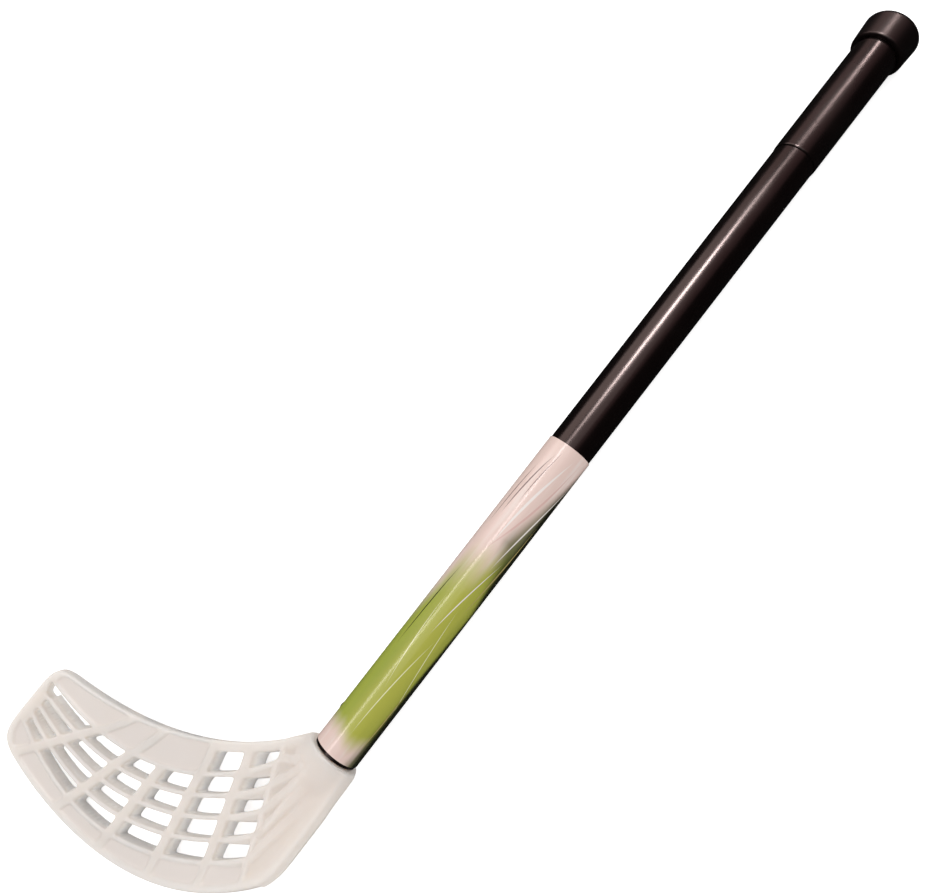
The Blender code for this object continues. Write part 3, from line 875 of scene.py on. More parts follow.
@dataclass
class Blade:
    """The moulded blade: a hooked lattice, its neck and collar, and the spigot in the tube.

    The ribs are drawn about one centre: long ribs are arcs that draw in towards the toe,
    and cross ribs follow bearings that change with the radius.
    """

    WEB_ATTRIBUTE = "web"
    # The windows' walls are marked for the painted light that the material puts on them.
    PAINTED_LIGHT_WALL_ATTRIBUTE = "painted_light_wall"

    # The grid that the skin is drawn on
    grid_low: Triple = (-160.0, -23.0, -19.0)
    grid_high: Triple = (54.0, 195.0, 19.0)
    voxel: float = 0.55
    smoothing: int = 2
    most_triangles: int = 190_000

    # The outline
    half_depth: float = 5.0
    edge_round: float = 2.0
    top_centre: Pair = (129.74, 194.47)
    top_radius: float = 218.4
    bottom_centre: Pair = (20.8, 132.0)
    bottom_radius: float = 178.0
    toe_reach: float = 192.5
    toe_top_round: float = 11.5
    toe_bottom_round: float = 19.0
    toe_bottom_corner: float = 110.0
    back_edge: float = 19.45
    back_edge_run: float = 30.0
    heel_round: float = 5.0
    hook_radius: float = 330.0

    # The long ribs: their radii about the centre, and how they draw in towards the toe
    rib_centre: Pair = (48.0, 155.0)
    first_rib: float = 148.8
    rib_pitch: float = 12.05
    long_front: float = 2.4
    long_back: float = 4.0
    long_front_shift: float = 0.9
    long_back_shift: float = 0.4
    neck_swell_start: float = 44.0
    neck_swell: float = 0.42
    toe_pull_start: float = 18.0
    toe_pull_span: float = 28.0
    toe_pulls: tuple[float, ...] = (0.0, 2.8, 7.0, 12.4, 17.4)
    toe_pull_power: float = 1.5

    # Where each row of openings ends at the toe, in degrees
    toe_ends: tuple[float, ...] = (-13.0, -9.9, -9.8, -9.2)
    toe_slant: float = 0.17
    toe_corner_start: float = -9.3
    toe_corner_depth: float = 158.6
    panel_toe_ends: Pair = (-11.9, -12.4)

    # The cross ribs: the bearing of each in degrees, at three rows of long ribs
    bearing_rows: Triple = (-1.56, 0.1, 4.66)
    bearings: tuple[Triple, ...] = (
        (66.0, 60.3, 51.0), (53.2, 49.3, 41.5), (41.0, 37.5, 30.5),
        (30.5, 26.4, 18.7), (23.5, 17.0, 6.8), (13.2, 5.9, -7.8))
    bearing_bend: float = 0.75
    cross_front: float = 6.4
    cross_back: float = 11.6
    lean: float = 4.6
    lean_start: float = 142.0
    lean_fall: float = 0.125
    open_top_columns: int = 2
    skipped_top_rib: int = 3

    # The column near the toe where the long ribs are thinner, and the last, where they are thicker
    slit_column: int = 4
    slit_gain: float = 1.3
    slit_blend: Pair = (2.0, 8.0)
    slit_end: float = 181.0
    slit_end_blend: float = 2.0
    toe_gain: float = 2.0
    toe_blend: Pair = (2.0, 10.0)

    # Borders, recesses and roundings
    top_border: float = 2.2
    bottom_border: float = 4.3
    top_window_border: float = 6.3
    front_recess: float = 1.2
    panel_wall: float = 2.6
    window_round: float = 1.5
    panel_round: float = 2.0
    crest_round: float = 0.8
    web_blend: Pair = (-0.4, 0.6)
    # Where the painted light on the windows' walls starts and is full: across the wall, and below the
    # front face.
    wall_blend: Pair = (-1.7, -0.7)
    wall_depth: Pair = (0.4, 3.0)

    # The neck and the collar
    collar_radius: float = 17.0
    collar_gap: float = 0.3
    collar_round: float = 1.8
    neck_length: float = 78.0
    neck_end: float = 4.6
    neck_falloff: float = 1.6
    neck_drop: float = 2.4
    heel_station: float = -63.0
    heel_radius: float = 30.0
    heel_centre: float = 10.7
    spine_reach: float = 22.0
    spine_rise: float = 2.5
    spine_power: float = 1.2
    spine_blend: Pair = (0.02, 0.3)
    least_flank: float = 4.0

    # The ribs' roots, which fan out over the neck as low ridges
    root_crest: float = 2.4
    root_recess: float = 1.5
    root_band: float = 5.0
    root_run: float = 46.0
    root_blend: float = 4.0
    root_from_rib: Pair = (0.0, 9.0)
    root_from_edge: Pair = (2.5, 7.5)
    root_height: Pair = (0.5, 3.0)
    ridge_width: float = 1.7
    ridge_slope: float = 2.2
    ridge_spread: float = 6.0
    ridge_end: Pair = (-16.0, 12.0)

    # The plug in the tube
    spigot_radius: float = 11.9
    spigot_wall: float = 2.6
    spigot_length: float = 52.0
    spigot_core: float = 6.0

    def build(self, axes: StickAxes, material: bpy.types.Material) -> bpy.types.Object:
        """Grow the blade from its formulas, hook it and lay it in place.

        Args:
            axes: The stick's axes.
            material: The blade's material.

        Returns:
            The blade as one plain mesh.
        """
        plan = ShapePlan("blade_shape")
        solid, web, wall = self.solid(plan, *plan.place())
        grid = {"Density": 1.0 - solid, "Min": self.grid_low, "Max": self.grid_high}
        for name, low, high in zip("XYZ", self.grid_low, self.grid_high):
            grid[f"Resolution {name}"] = round((high - low) / self.voxel)
        cube = plan.output("GeometryNodeVolumeCube", grid)
        skin = plan.output("GeometryNodeVolumeToMesh", {"Volume": cube, "Threshold": 1.0})
        mesh = self.smoothed(plan, skin)
        for name, value in ((self.WEB_ATTRIBUTE, web), (self.PAINTED_LIGHT_WALL_ATTRIBUTE, wall)):
            marks = {"Geometry": mesh, "Name": name, "Value": value}
            mesh = plan.output("GeometryNodeStoreNamedAttribute", marks)
        plan.finish(self.hooked(plan, mesh), material)
        return axes.lay(plan.grow("blade_moulding", self.most_triangles))

    def smoothed(self, plan: ShapePlan, mesh: bpy.types.NodeSocket) -> bpy.types.NodeSocket:
        """Take the grid's fine ripple off the skin.

        Args:
            plan: The blade's tree.
            mesh: The skin as it comes off the grid.

        Returns:
            The smoothed skin.
        """
        blur = plan.node("GeometryNodeBlurAttribute", data_type="FLOAT_VECTOR")
        blur.inputs["Iterations"].default_value = self.smoothing
        value = next(socket for socket in blur.inputs if socket.type == "VECTOR" and socket.enabled)
        plan.feed(value, plan.output("GeometryNodeInputPosition", {}))
        even = next(socket for socket in blur.outputs if socket.enabled)
        return plan.output("GeometryNodeSetPosition", {"Geometry": mesh, "Position": even})

    def hooked(self, plan: ShapePlan, mesh: bpy.types.NodeSocket) -> bpy.types.NodeSocket:
        """Bend the flat blade about a line along the shaft, on its hollow side.

        Args:
            plan: The blade's tree.
            mesh: The flat blade.

        Returns:
            The bent blade.
        """
        x, y, z = plan.place()
        turn = plan.most(y, 0.0) / self.hook_radius
        radius = self.hook_radius - z
        share = plan.held(-x / self.collar_radius)
        bent_y = plan.least(y, 0.0) + radius * plan.math("SINE", turn)
        bent_z = self.hook_radius - radius * plan.math("COSINE", turn)
        bent = {"X": x, "Y": plan.blend(share, y, bent_y), "Z": plan.blend(share, z, bent_z)}
        point = plan.output("ShaderNodeCombineXYZ", bent)
        return plan.output("GeometryNodeSetPosition", {"Geometry": mesh, "Position": point})

    def solid(self, plan: ShapePlan, x: Formula, y: Formula,
              z: Formula) -> tuple[Formula, Formula, Formula]:
        """The whole blade before it is bent.

        Args:
            plan: The blade's tree.
            x: The point's station.
            y: The point's distance from the shaft towards the toe.
            z: The point's height on the hollow side.

        Returns:
            The distance out of the solid, how much the point lies on a thin panel, and how
            much on a window's wall, where the material paints light on.
        """
        depth = plan.size("blade half depth", self.half_depth)
        front = plan.size("cross rib front width", self.cross_front)
        crest = plan.size("long rib front width", self.long_front)
        at = self.rib_point(plan, x, y, z, depth)
        rib, swell = self.long_ribs(at, crest)
        columns, top_columns = self.columns(at, front)
        window = self.window(at, columns, rib, swell)
        sides = ((top_columns, -at.below[0] - rib), (columns, at.below[-1] - swell * 2.0 - rib))
        panel = self.panels(at, sides)
        face = self.half_depth - self.front_recess
        front_pocket = plan.soft_least(panel, z - face, self.crest_round)
        back_pocket = plan.soft_least(panel, face - self.panel_wall - z, self.window_round)

        plate = plan.soft_most(at.edge, abs(z) - depth, self.edge_round)
        body = plan.soft_least(plate, self.neck(plan, x, y, z), self.window_round * 2.0)
        body = body + self.roots(at, front * 0.5, crest * 0.5)
        for cut in (window, front_pocket, back_pocket):
            body = plan.soft_most(body, cut, self.crest_round)
        body = plan.soft_most(body, x + self.collar_gap, self.collar_round)
        web = plan.ramp(panel, *self.web_blend)
        # How much the point lies on a window's wall, which gets painted light.
        wall = plan.ramp(window, *self.wall_blend) * plan.ramp(face - z, *self.wall_depth)
        return plan.least(body, self.spigot(plan, x, y, z)), web, wall

    def edge(self, plan: ShapePlan, x: Formula, y: Formula) -> Formula:
        """Distance past the blade's outline, less than 0 inside it.

        Args:
            plan: The blade's tree.
            x: The point's station.
            y: The point's distance from the shaft towards the toe.

        Returns:
            The distance.
        """
        top = self.top_radius - plan.distance(x, y, self.top_centre)
        bottom = plan.distance(x, y, self.bottom_centre) - self.bottom_radius
        toe = y - plan.size("toe reach", self.toe_reach)
        back = plan.most(-self.back_edge - y, x * self.back_slant - self.collar_radius - y)
        heel = plan.soft_most(bottom, back, self.heel_round)
        lower = plan.soft_most(heel, toe, self.toe_bottom_round, self.toe_bottom_corner)
        return plan.soft_most(lower, top, self.toe_top_round)

    @property
    def back_slant(self) -> float:
        """How fast the back edge spreads from the collar's side."""
        return (self.back_edge - self.collar_radius) / self.back_edge_run

    def rib_point(self, plan: ShapePlan, x: Formula, y: Formula, z: Formula, depth: Formula) -> RibPoint:
        """Set a point against the outline and the ribs.

        Args:
            plan: The blade's tree.
            x: The point's station.
            y: The point's distance from the shaft towards the toe.
            z: The point's height on the hollow side.
            depth: Half the blade's depth.

        Returns:
            The point with its place among the ribs.
        """
        deep = plan.held((depth - z) / (depth * 2.0))
        across, reach = self.rib_centre[0] - x, self.rib_centre[1] - y
        radius = plan.length(across, reach)
        angle = plan.math("ARCTAN2", reach, across)
        degrees = angle * DEGREES
        past = [(bearing - angle) * radius for bearing in self.cross_bearings(plan, radius)]
        shift = plan.blend(deep, self.long_front_shift, self.long_back_shift)
        below = [radius - middle - shift for middle in self.rib_middles(plan, degrees)]
        return RibPoint(plan, x, y, z, self.edge(plan, x, y), deep, radius, degrees, past, below)

    def cross_bearings(self, plan: ShapePlan, radius: Formula) -> list[Formula]:
        """The cross ribs' angles at a radius.

        Args:
            plan: The blade's tree.
            radius: The point's distance from the ribs' centre.

        Returns:
            The angles in radians, from the neck to the toe.
        """
        top, inner, outer = self.bearing_rows
        row = (radius - self.first_rib) / plan.size("rib pitch", self.rib_pitch)
        rise = plan.most((inner - row) / (inner - top), 0.0)
        fall = plan.most((row - inner) / (outer - inner), 0.0) ** self.bearing_bend
        return [(rise * (high - middle) + fall * (low - middle) + middle) * RADIANS
                for high, middle, low in self.bearings]

    def rib_middles(self, plan: ShapePlan, degrees: Formula) -> list[Formula]:
        """The long ribs' radii at a bearing.

        Args:
            plan: The blade's tree.
            degrees: The point's bearing from the ribs' centre.

        Returns:
            The radii, from the top edge down.
        """
        late = plan.most((self.toe_pull_start - degrees) / self.toe_pull_span, 0.0)
        late = late ** self.toe_pull_power
        return [late * -pull + (self.first_rib + row * self.rib_pitch)
                for row, pull in enumerate(self.toe_pulls)]

    def long_ribs(self, at: RibPoint, crest: Formula) -> tuple[Formula, Formula]:
        """How wide the long ribs are.

        Args:
            at: The point.
            crest: A long rib's width at the front.

        Returns:
            Half a rib's width at the point's depth, and how much it swells towards the neck.
        """
        plan, before, after = at.plan, at.past[self.slit_column], at.past[self.slit_column + 1]
        slit = plan.ramp(before, *self.slit_blend) * plan.ramp(-after, *self.slit_blend)
        low, high = self.slit_end - self.slit_end_blend, self.slit_end + self.slit_end_blend
        slit = slit * (1.0 - plan.ramp(at.radius, low, high))
        back = plan.size("long rib back width", self.long_back) - slit * self.slit_gain
        back = back + plan.ramp(after, *self.toe_blend) * self.toe_gain
        swell = plan.most(at.degrees - self.neck_swell_start, 0.0) * (self.neck_swell / 2)
        return plan.blend(at.deep, crest, back) * 0.5, swell

    def columns(self, at: RibPoint, front: Formula) -> tuple[Formula, Formula]:
        """Distance into the spaces between the cross ribs, more than 0 in a space.

        Args:
            at: The point.
            front: A cross rib's width at the front.

        Returns:
            The distance for the windows and the lower panels, and for the upper panels,
            which have fewer cross ribs between them.
        """
        plan, past = at.plan, at.past
        back = plan.size("cross rib back width", self.cross_back)
        half = plan.blend(at.deep, front, back) * 0.5
        lean = (self.lean - (at.radius - self.lean_start) * self.lean_fall) * at.deep
        columns = plan.least(past[0] - half, plan.most(past[1] - half, -past[1] - half - lean))
        top_columns = past[self.open_top_columns] - half
        for number, distance in enumerate(past[2:], 2):
            columns = plan.least(columns, abs(distance) - half)
            if number > self.open_top_columns and number != self.skipped_top_rib:
                top_columns = plan.least(top_columns, abs(distance) - half)
        return columns, top_columns

    def window(self, at: RibPoint, columns: Formula, rib: Formula, swell: Formula) -> Formula:
        """Distance into the openings of the lattice, more than 0 in one.

        Args:
            at: The point.
            columns: Distance into the spaces between the cross ribs.
            rib: Half a long rib's width.
            swell: How much it swells towards the neck.

        Returns:
            The distance.
        """
        plan = at.plan
        rows = plan.least(*(abs(distance - swell) - swell - rib for distance in at.below))
        over = plan.distance(at.x, at.y, self.top_centre) - self.top_radius
        window = plan.soft_least(columns, rows, self.window_round)
        for limit in (self.toe_limit(at), over - self.top_window_border):
            window = plan.soft_least(window, limit, self.window_round)
        top_row = plan.most(at.below[0], -at.past[self.open_top_columns])
        window = plan.least(window, -at.below[-1], top_row)
        return plan.most(window, self.toe_corner(at, at.below[0] - rib))

    def toe_limit(self, at: RibPoint) -> Formula:
        """Distance from the end that each row of windows has at the toe.

        Args:
            at: The point.

        Returns:
            The distance, more than 0 before the end.
        """
        slant = (at.radius - self.first_rib) * self.toe_slant
        limit = at.arc(at.degrees - slant - self.toe_ends[0])
        for row, end in enumerate(self.toe_ends[1:], 1):
            lower = at.plan.math("GREATER_THAN", at.below[row], 0.0)
            limit = at.plan.blend(lower, limit, at.arc(at.degrees - end))
        return limit

    def toe_corner(self, at: RibPoint, past_rib: Formula) -> Formula:
        """Distance into the small opening past the end of the second long rib.

        Args:
            at: The point.
            past_rib: Its distance below the first long rib's side.

        Returns:
            The distance, more than 0 in the opening.
        """
        slant = (at.radius - self.first_rib) * self.toe_slant
        past_end = at.arc(self.toe_corner_start - at.degrees)
        before_edge = at.arc(at.degrees - slant - self.toe_ends[0])
        depth = at.plan.least(past_rib, self.toe_corner_depth - at.radius)
        return at.plan.soft_least(at.plan.least(past_end, before_edge), depth, self.window_round)

    def panels(self, at: RibPoint, sides: Sequence[tuple[Formula, Formula]]) -> Formula:
        """Distance into the recessed panels along the blade's two edges.

        Args:
            at: The point.
            sides: For the upper and the lower panels, the distance into the spaces between
                the cross ribs and the distance from the nearest long rib.

        Returns:
            The distance, more than 0 in a panel.
        """
        plan, panels = at.plan, []
        borders = (self.top_border, self.bottom_border)
        for (columns, rib_side), toe_end, border in zip(sides, self.panel_toe_ends, borders):
            panel = plan.soft_least(columns, rib_side, self.panel_round)
            for limit in (-at.edge - border, at.arc(at.degrees - toe_end)):
                panel = plan.soft_least(panel, limit, self.panel_round)
            panels.append(panel)
        return plan.most(*panels)

    def neck(self, plan: ShapePlan, x: Formula, y: Formula, z: Formula) -> Formula:
        """The neck: round at the collar, with a spine along the back edge, thinning to the lattice.

        Args:
            plan: The blade's tree.
            x: The point's station.
            y: The point's distance from the shaft towards the toe.
            z: The point's height on the hollow side.

        Returns:
            The distance out of the neck.
        """
        share = plan.held(-x / plan.size("neck length", self.neck_length))
        thick = (1.0 - share) ** self.neck_falloff * (self.collar_radius - self.neck_end) + self.neck_end
        low, high = self.neck_sides(plan, x)
        spine = plan.blend(plan.held(share * self.spine_rise), self.collar_radius, self.spine_reach)
        middle = low + spine
        flank = plan.most(high - middle, self.least_flank)
        width = plan.blend(plan.math("GREATER_THAN", y, middle), spine, flank)
        across, up = abs(y - middle) / width, abs(z) / thick
        power = plan.blend(plan.ramp(share, *self.spine_blend), 2.0, self.spine_power)
        rounding = (across ** power + up ** power) ** (1.0 / power)
        return plan.most((rounding - 1.0) * plan.least(thick, width), -self.neck_length - x)

    def neck_sides(self, plan: ShapePlan, x: Formula) -> tuple[Formula, Formula]:
        """The neck's two sides at a station.

        Args:
            plan: The blade's tree.
            x: The station.

        Returns:
            The back edge, which ends in the heel's arc, and the side towards the toe, which
            follows the first cross rib and the top edge.
        """
        low = plan.most(x * self.back_slant, -self.neck_drop) - self.collar_radius
        run = plan.most(self.heel_station - x, 0.0)
        heel = plan.math("SQRT", plan.most(self.heel_radius ** 2 - run ** 2.0, 0.0))
        low = plan.blend(plan.math("LESS_THAN", x, self.heel_station), low, self.heel_centre - heel)
        near, far = self.bearing_point(1), self.bearing_point(2)
        slope = (far[1] - near[1]) / (far[0] - near[0])
        rib_line = (x - near[0]) * slope + (near[1] - self.cross_front / 2)
        run = self.top_centre[0] - x
        drop = plan.math("SQRT", self.top_radius ** 2 - run * run)
        arc = self.top_centre[1] - drop - self.edge_round
        return low, plan.least(rib_line, plan.most(arc, self.collar_radius))

    def bearing_point(self, place: int) -> Pair:
        """A point of the first cross rib's middle line.

        Args:
            place: Which of the three bearing rows it lies on.

        Returns:
            Its station and its distance from the shaft.
        """
        radius = self.first_rib + self.bearing_rows[place] * self.rib_pitch
        angle = math.radians(self.bearings[0][place])
        return (self.rib_centre[0] - radius * math.cos(angle),
                self.rib_centre[1] - radius * math.sin(angle))

    def roots(self, at: RibPoint, cross: Formula, crest: Formula) -> Formula:
        """How far the front sinks between the ribs' roots, beside the windows and on the neck.

        Args:
            at: The point.
            cross: Half a cross rib's width at the front.
            crest: Half a long rib's width at the front.

        Returns:
            The depth that is taken off the body.
        """
        plan = at.plan
        crests = plan.least(*(abs(distance) - crest for distance in at.below))
        crests = plan.least(crests, abs(at.past[1]) - cross)
        inner = at.past[0] - cross
        beyond = -inner - self.root_crest
        ring = abs(inner + self.root_crest / 2) - self.root_crest / 2
        onto_neck = plan.ramp(beyond, 0.0, self.root_blend)
        ridge = plan.least(plan.blend(onto_neck, crests, self.ridges(plan, at.x, at.y)), ring)
        faded = 1.0 - plan.ramp(beyond, self.root_band, self.root_run)
        sunk = plan.ramp(ridge, 0.0, self.ridge_slope) * faded * self.root_recess
        near = plan.ramp(-at.past[1] - cross, *self.root_from_rib)
        near = near * plan.ramp(-at.edge, *self.root_from_edge)
        return sunk * near * plan.ramp(at.z, *self.root_height)

    def ridges(self, plan: ShapePlan, x: Formula, y: Formula) -> Formula:
        """Distance from the nearest ridge that runs on from a long rib over the neck.

        Args:
            plan: The blade's tree.
            x: The point's station.
            y: The point's distance from the shaft towards the toe.

        Returns:
            The distance, less than 0 on a ridge.
        """
        near, far = self.bearing_point(1), self.bearing_point(2)
        _, inner, outer = self.bearing_rows
        nearest: Number = self.root_run
        for row in range(len(self.toe_pulls)):
            share = (row - inner) / (outer - inner)
            start = (near[0] + (far[0] - near[0]) * share, near[1] + (far[1] - near[1]) * share)
            end = (self.ridge_end[0], self.ridge_end[1] - self.ridge_spread * row)
            run = (end[0] - start[0], end[1] - start[1])
            size = run[0] ** 2 + run[1] ** 2
            along = plan.held(((x - start[0]) * run[0] + (y - start[1]) * run[1]) / size)
            off = plan.length(x - start[0] - along * run[0], y - start[1] - along * run[1])
            nearest = plan.least(nearest, off - self.ridge_width)
        return nearest

    def spigot(self, plan: ShapePlan, x: Formula, y: Formula, z: Formula) -> Formula:
        """The hollow plug inside the tube, solid where it grows out of the collar.

        Args:
            plan: The blade's tree.
            x: The point's station.
            y: The point's distance from the shaft towards the toe.
            z: The point's height on the hollow side.

        Returns:
            The distance out of the plug.
        """
        off = plan.length(y, z)
        shell = plan.most(off - self.spigot_radius, self.spigot_radius - self.spigot_wall - off)
        core = plan.most(off - self.spigot_radius, x - self.spigot_core)
        return plan.most(plan.least(shell, core), x - self.spigot_length, -self.spigot_core - x)


# The shaft


ON_AXIS = 1e-6


def softened(corners: Sequence[Triple], support: float = 0.1, steps: int = 8) -> list[Pair]:
    """Round the corners of a closed section.

    Args:
        corners: Station, radius and rounding of each corner, in order.
        support: How far past each round a point keeps the straight side straight.
        steps: How many steps each round has.

    Returns:
        The section's points.
    """
    points: list[Pair] = []
    count = len(corners)
    for index, (station, radius, rounding) in enumerate(corners):
        here = Vector((station, radius))
        if rounding <= 0.0:
            points.append(tuple(here))
            continue
        before = (Vector(corners[index - 1][:2]) - here).normalized()
        after = (Vector(corners[(index + 1) % count][:2]) - here).normalized()
        half = before.angle(after) / 2
        reach = rounding / math.tan(half)
        centre = here + (before + after).normalized() * (rounding / math.sin(half))
        first, last = here + before * reach - centre, here + after * reach - centre
        turns = (first.slerp(last, step / steps) for step in range(steps + 1))
        points.append(tuple(here + before * (reach + support)))
        points += [tuple(centre + turn * rounding) for turn in turns]
        points.append(tuple(here + after * (reach + support)))
    return points


def turned(name: str, section: Sequence[Pair], sides: int = 144,
           wave: Callable[[float, float], float] | None = None) -> bpy.types.Object:
    """Turn a closed section about the shaft, with a UV map of turn and station.

    Args:
        name: The object's name.
        section: Stations and radii in millimetres, in order, with both ends on the axis or none.
        sides: How many steps the turn has.
        wave: Gives how far the surface stands out at a station and an angle.

    Returns:
        The turned piece, in the stick's axes and in millimetres.
    """
    shell = bmesh.new()
    layer = shell.loops.layers.uv.new("UVMap")
    stations = [station for station, _ in section]
    start, length = min(stations), max(stations) - min(stations)
    rings = []
    for station, radius in section:
        if radius < ON_AXIS:
            rings.append([shell.verts.new((station, 0.0, 0.0))] * sides)
            continue
        ring = []
        for side in range(sides):
            angle = math.tau * side / sides
            reach = radius + (wave(station, angle) if wave else 0.0)
            ring.append(shell.verts.new((station, reach * math.cos(angle), reach * math.sin(angle))))
        rings.append(ring)
    last = len(rings) - 1
    closing = [] if section[0][1] < ON_AXIS else [(last, 0)]
    for low, high in [(ring, ring + 1) for ring in range(last)] + closing:
        for side in range(sides):
            after = (side + 1) % sides
            corners: dict[bmesh.types.BMVert, Pair] = {}
            for ring, place, step in ((low, side, side), (low, after, side + 1),
                                      (high, after, side + 1), (high, side, side)):
                corners.setdefault(rings[ring][place],
                                   (step / sides, (section[ring][0] - start) / length))
            face = shell.faces.new(list(corners))
            for loop, uv in zip(face.loops, corners.values()):
                loop[layer].uv = uv
    bmesh.ops.recalc_face_normals(shell, faces=shell.faces)
    mesh = bpy.data.meshes.new(name)
    shell.to_mesh(mesh)
    shell.free()
    mesh.shade_smooth()
    item = bpy.data.objects.new(name, mesh)
    bpy.context.scene.collection.objects.link(item)
    return item


def spaced(section: list[Pair], step: float) -> list[Pair]:
    """Add points to a closed section so that no side is longer than a step.

    Args:
        section: Stations and radii, in order.
        step: The longest side.

    Returns:
        The section with the points added.
    """
    points = []
    for here, after in zip(section, section[1:] + section[:1]):
        count = max(1, math.ceil(math.dist(here, after) / step))
        for index in range(count):
            share = index / count
            points.append(tuple(low + (high - low) * share for low, high in zip(here, after)))
    return points


@dataclass
class Sleeve:
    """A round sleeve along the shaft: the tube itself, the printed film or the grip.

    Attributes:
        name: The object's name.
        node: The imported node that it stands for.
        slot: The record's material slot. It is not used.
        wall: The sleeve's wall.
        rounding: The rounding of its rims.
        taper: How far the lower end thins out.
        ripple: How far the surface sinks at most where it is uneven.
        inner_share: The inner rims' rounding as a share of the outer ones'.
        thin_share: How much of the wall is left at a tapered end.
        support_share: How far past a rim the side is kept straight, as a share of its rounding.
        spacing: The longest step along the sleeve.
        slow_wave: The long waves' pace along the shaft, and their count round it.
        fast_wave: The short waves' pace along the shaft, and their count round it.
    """

    name: str
    node: Node
    slot: Slot
    wall: float
    rounding: float
    taper: float = 0.0
    ripple: float = 0.0
    inner_share: float = 0.3
    thin_share: float = 0.4
    support_share: float = 0.1
    spacing: float = 6.0
    slow_wave: Pair = (0.21, 2.0)
    fast_wave: Pair = (0.47, 3.0)

    def build(self, axes: StickAxes, material: bpy.types.Material) -> bpy.types.Object:
        """Turn the sleeve over its node's place.

        Args:
            axes: The stick's axes.
            material: The sleeve's material.

        Returns:
            The sleeve as one plain mesh.
        """
        start, end, outer = axes.extent(self.node)
        inner = outer - self.wall
        inner_round = self.rounding * self.inner_share
        corners = [(end, inner, inner_round), (end, outer, self.rounding)]
        if self.taper:
            corners.append((start + self.taper, outer, self.rounding))
            corners.append((start, inner + self.wall * self.thin_share, 0.0))
        else:
            corners.append((start, outer, self.rounding))
        corners.append((start, inner, inner_round))
        section = spaced(softened(corners, self.rounding * self.support_share), self.spacing)
        item = turned(self.name, section, wave=self.wave if self.ripple else None)
        item.data.materials.append(material)
        return axes.lay(item)

    def wave(self, station: float, angle: float) -> float:
        """How far the surface stands out.

        Args:
            station: The point's station.
            angle: Its angle round the shaft, in radians.

        Returns:
            Less than 0, down to the ripple's depth.
        """
        slow = math.sin(station * self.slow_wave[0] + 2.0 * math.sin(angle * self.slow_wave[1]))
        fast = math.sin(station * self.fast_wave[0] + angle * self.fast_wave[1])
        return -self.ripple * (0.5 + 0.3 * slow + 0.2 * fast)


@dataclass
class Knob:
    """The flared end cap that is pushed over the tube.

    Attributes:
        rim_radius: Its radius at the rim round the tube.
        end_radius: Its radius at the end.
        socket_radius: The radius of the hole for the tube.
        end_wall: The wall past the tube's end.
        rim_round: The rim's rounding.
        edge_round: The end's rounding.
        socket_round: The rounding of the hole's edges.
        rim_lift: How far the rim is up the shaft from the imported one.
    """

    rim_radius: float = 17.1
    end_radius: float = 18.2
    socket_radius: float = 14.15
    end_wall: float = 3.7
    rim_round: float = 1.6
    edge_round: float = 2.8
    socket_round: float = 0.3
    rim_lift: float = 1.5

    def build(self, axes: StickAxes, material: bpy.types.Material) -> bpy.types.Object:
        """Turn the knob over its node's place.

        Args:
            axes: The stick's axes.
            material: The knob's material.

        Returns:
            The knob as one plain mesh.
        """
        rim, end, _ = axes.extent(Node.KNOB)
        rim += self.rim_lift
        floor = end - self.end_wall
        corners = [(end, 0.0, 0.0), (end, self.end_radius, self.edge_round),
                   (rim, self.rim_radius, self.rim_round),
                   (rim, self.socket_radius, self.socket_round),
                   (floor, self.socket_radius, self.socket_round), (floor, 0.0, 0.0)]
        item = turned("end_knob", softened(corners))
        item.data.materials.append(material)
        return axes.lay(item)


# The studio


@dataclass(frozen=True)
class Lamp:
    """A soft rectangular lamp.

    Attributes:
        name: Its name.
        place: Where it hangs, in metres.
        target: What it points at.
        size: Its length and width.
        power: Its power in watts.
        colour: Its colour.
        reflected: Whether it shows in reflections.
        lights: Whether it lights pale surfaces.
    """

    name: str
    place: Triple
    target: Triple
    size: Pair
    power: float
    colour: Colour
    reflected: bool = True
    lights: bool = True

    def hang(self) -> None:
        """Add the lamp to the scene."""
        light = bpy.data.lights.new(self.name, "AREA")
        light.shape = "RECTANGLE"
        light.size, light.size_y = self.size
        light.energy = self.power
        light.color = self.colour
        item = bpy.data.objects.new(self.name, light)
        item.location = self.place
        aim = Vector(self.target) - Vector(self.place)
        item.rotation_euler = aim.to_track_quat("-Z", "Y").to_matrix().to_euler()
        item.visible_diffuse = self.lights
        item.visible_glossy = self.reflected
        bpy.context.scene.collection.objects.link(item)


@dataclass(frozen=True)
class StripPart:
    """One length of the lamp strip over the shaft.

    Attributes:
        end: Its end's x, in metres. It starts where the part before it ends.
        y: How far it hangs to the toe's side.
        watts: Its power to a metre.
        white: Its green and blue as a share of its red.
    """

    end: float
    y: float
    watts: float
    white: float


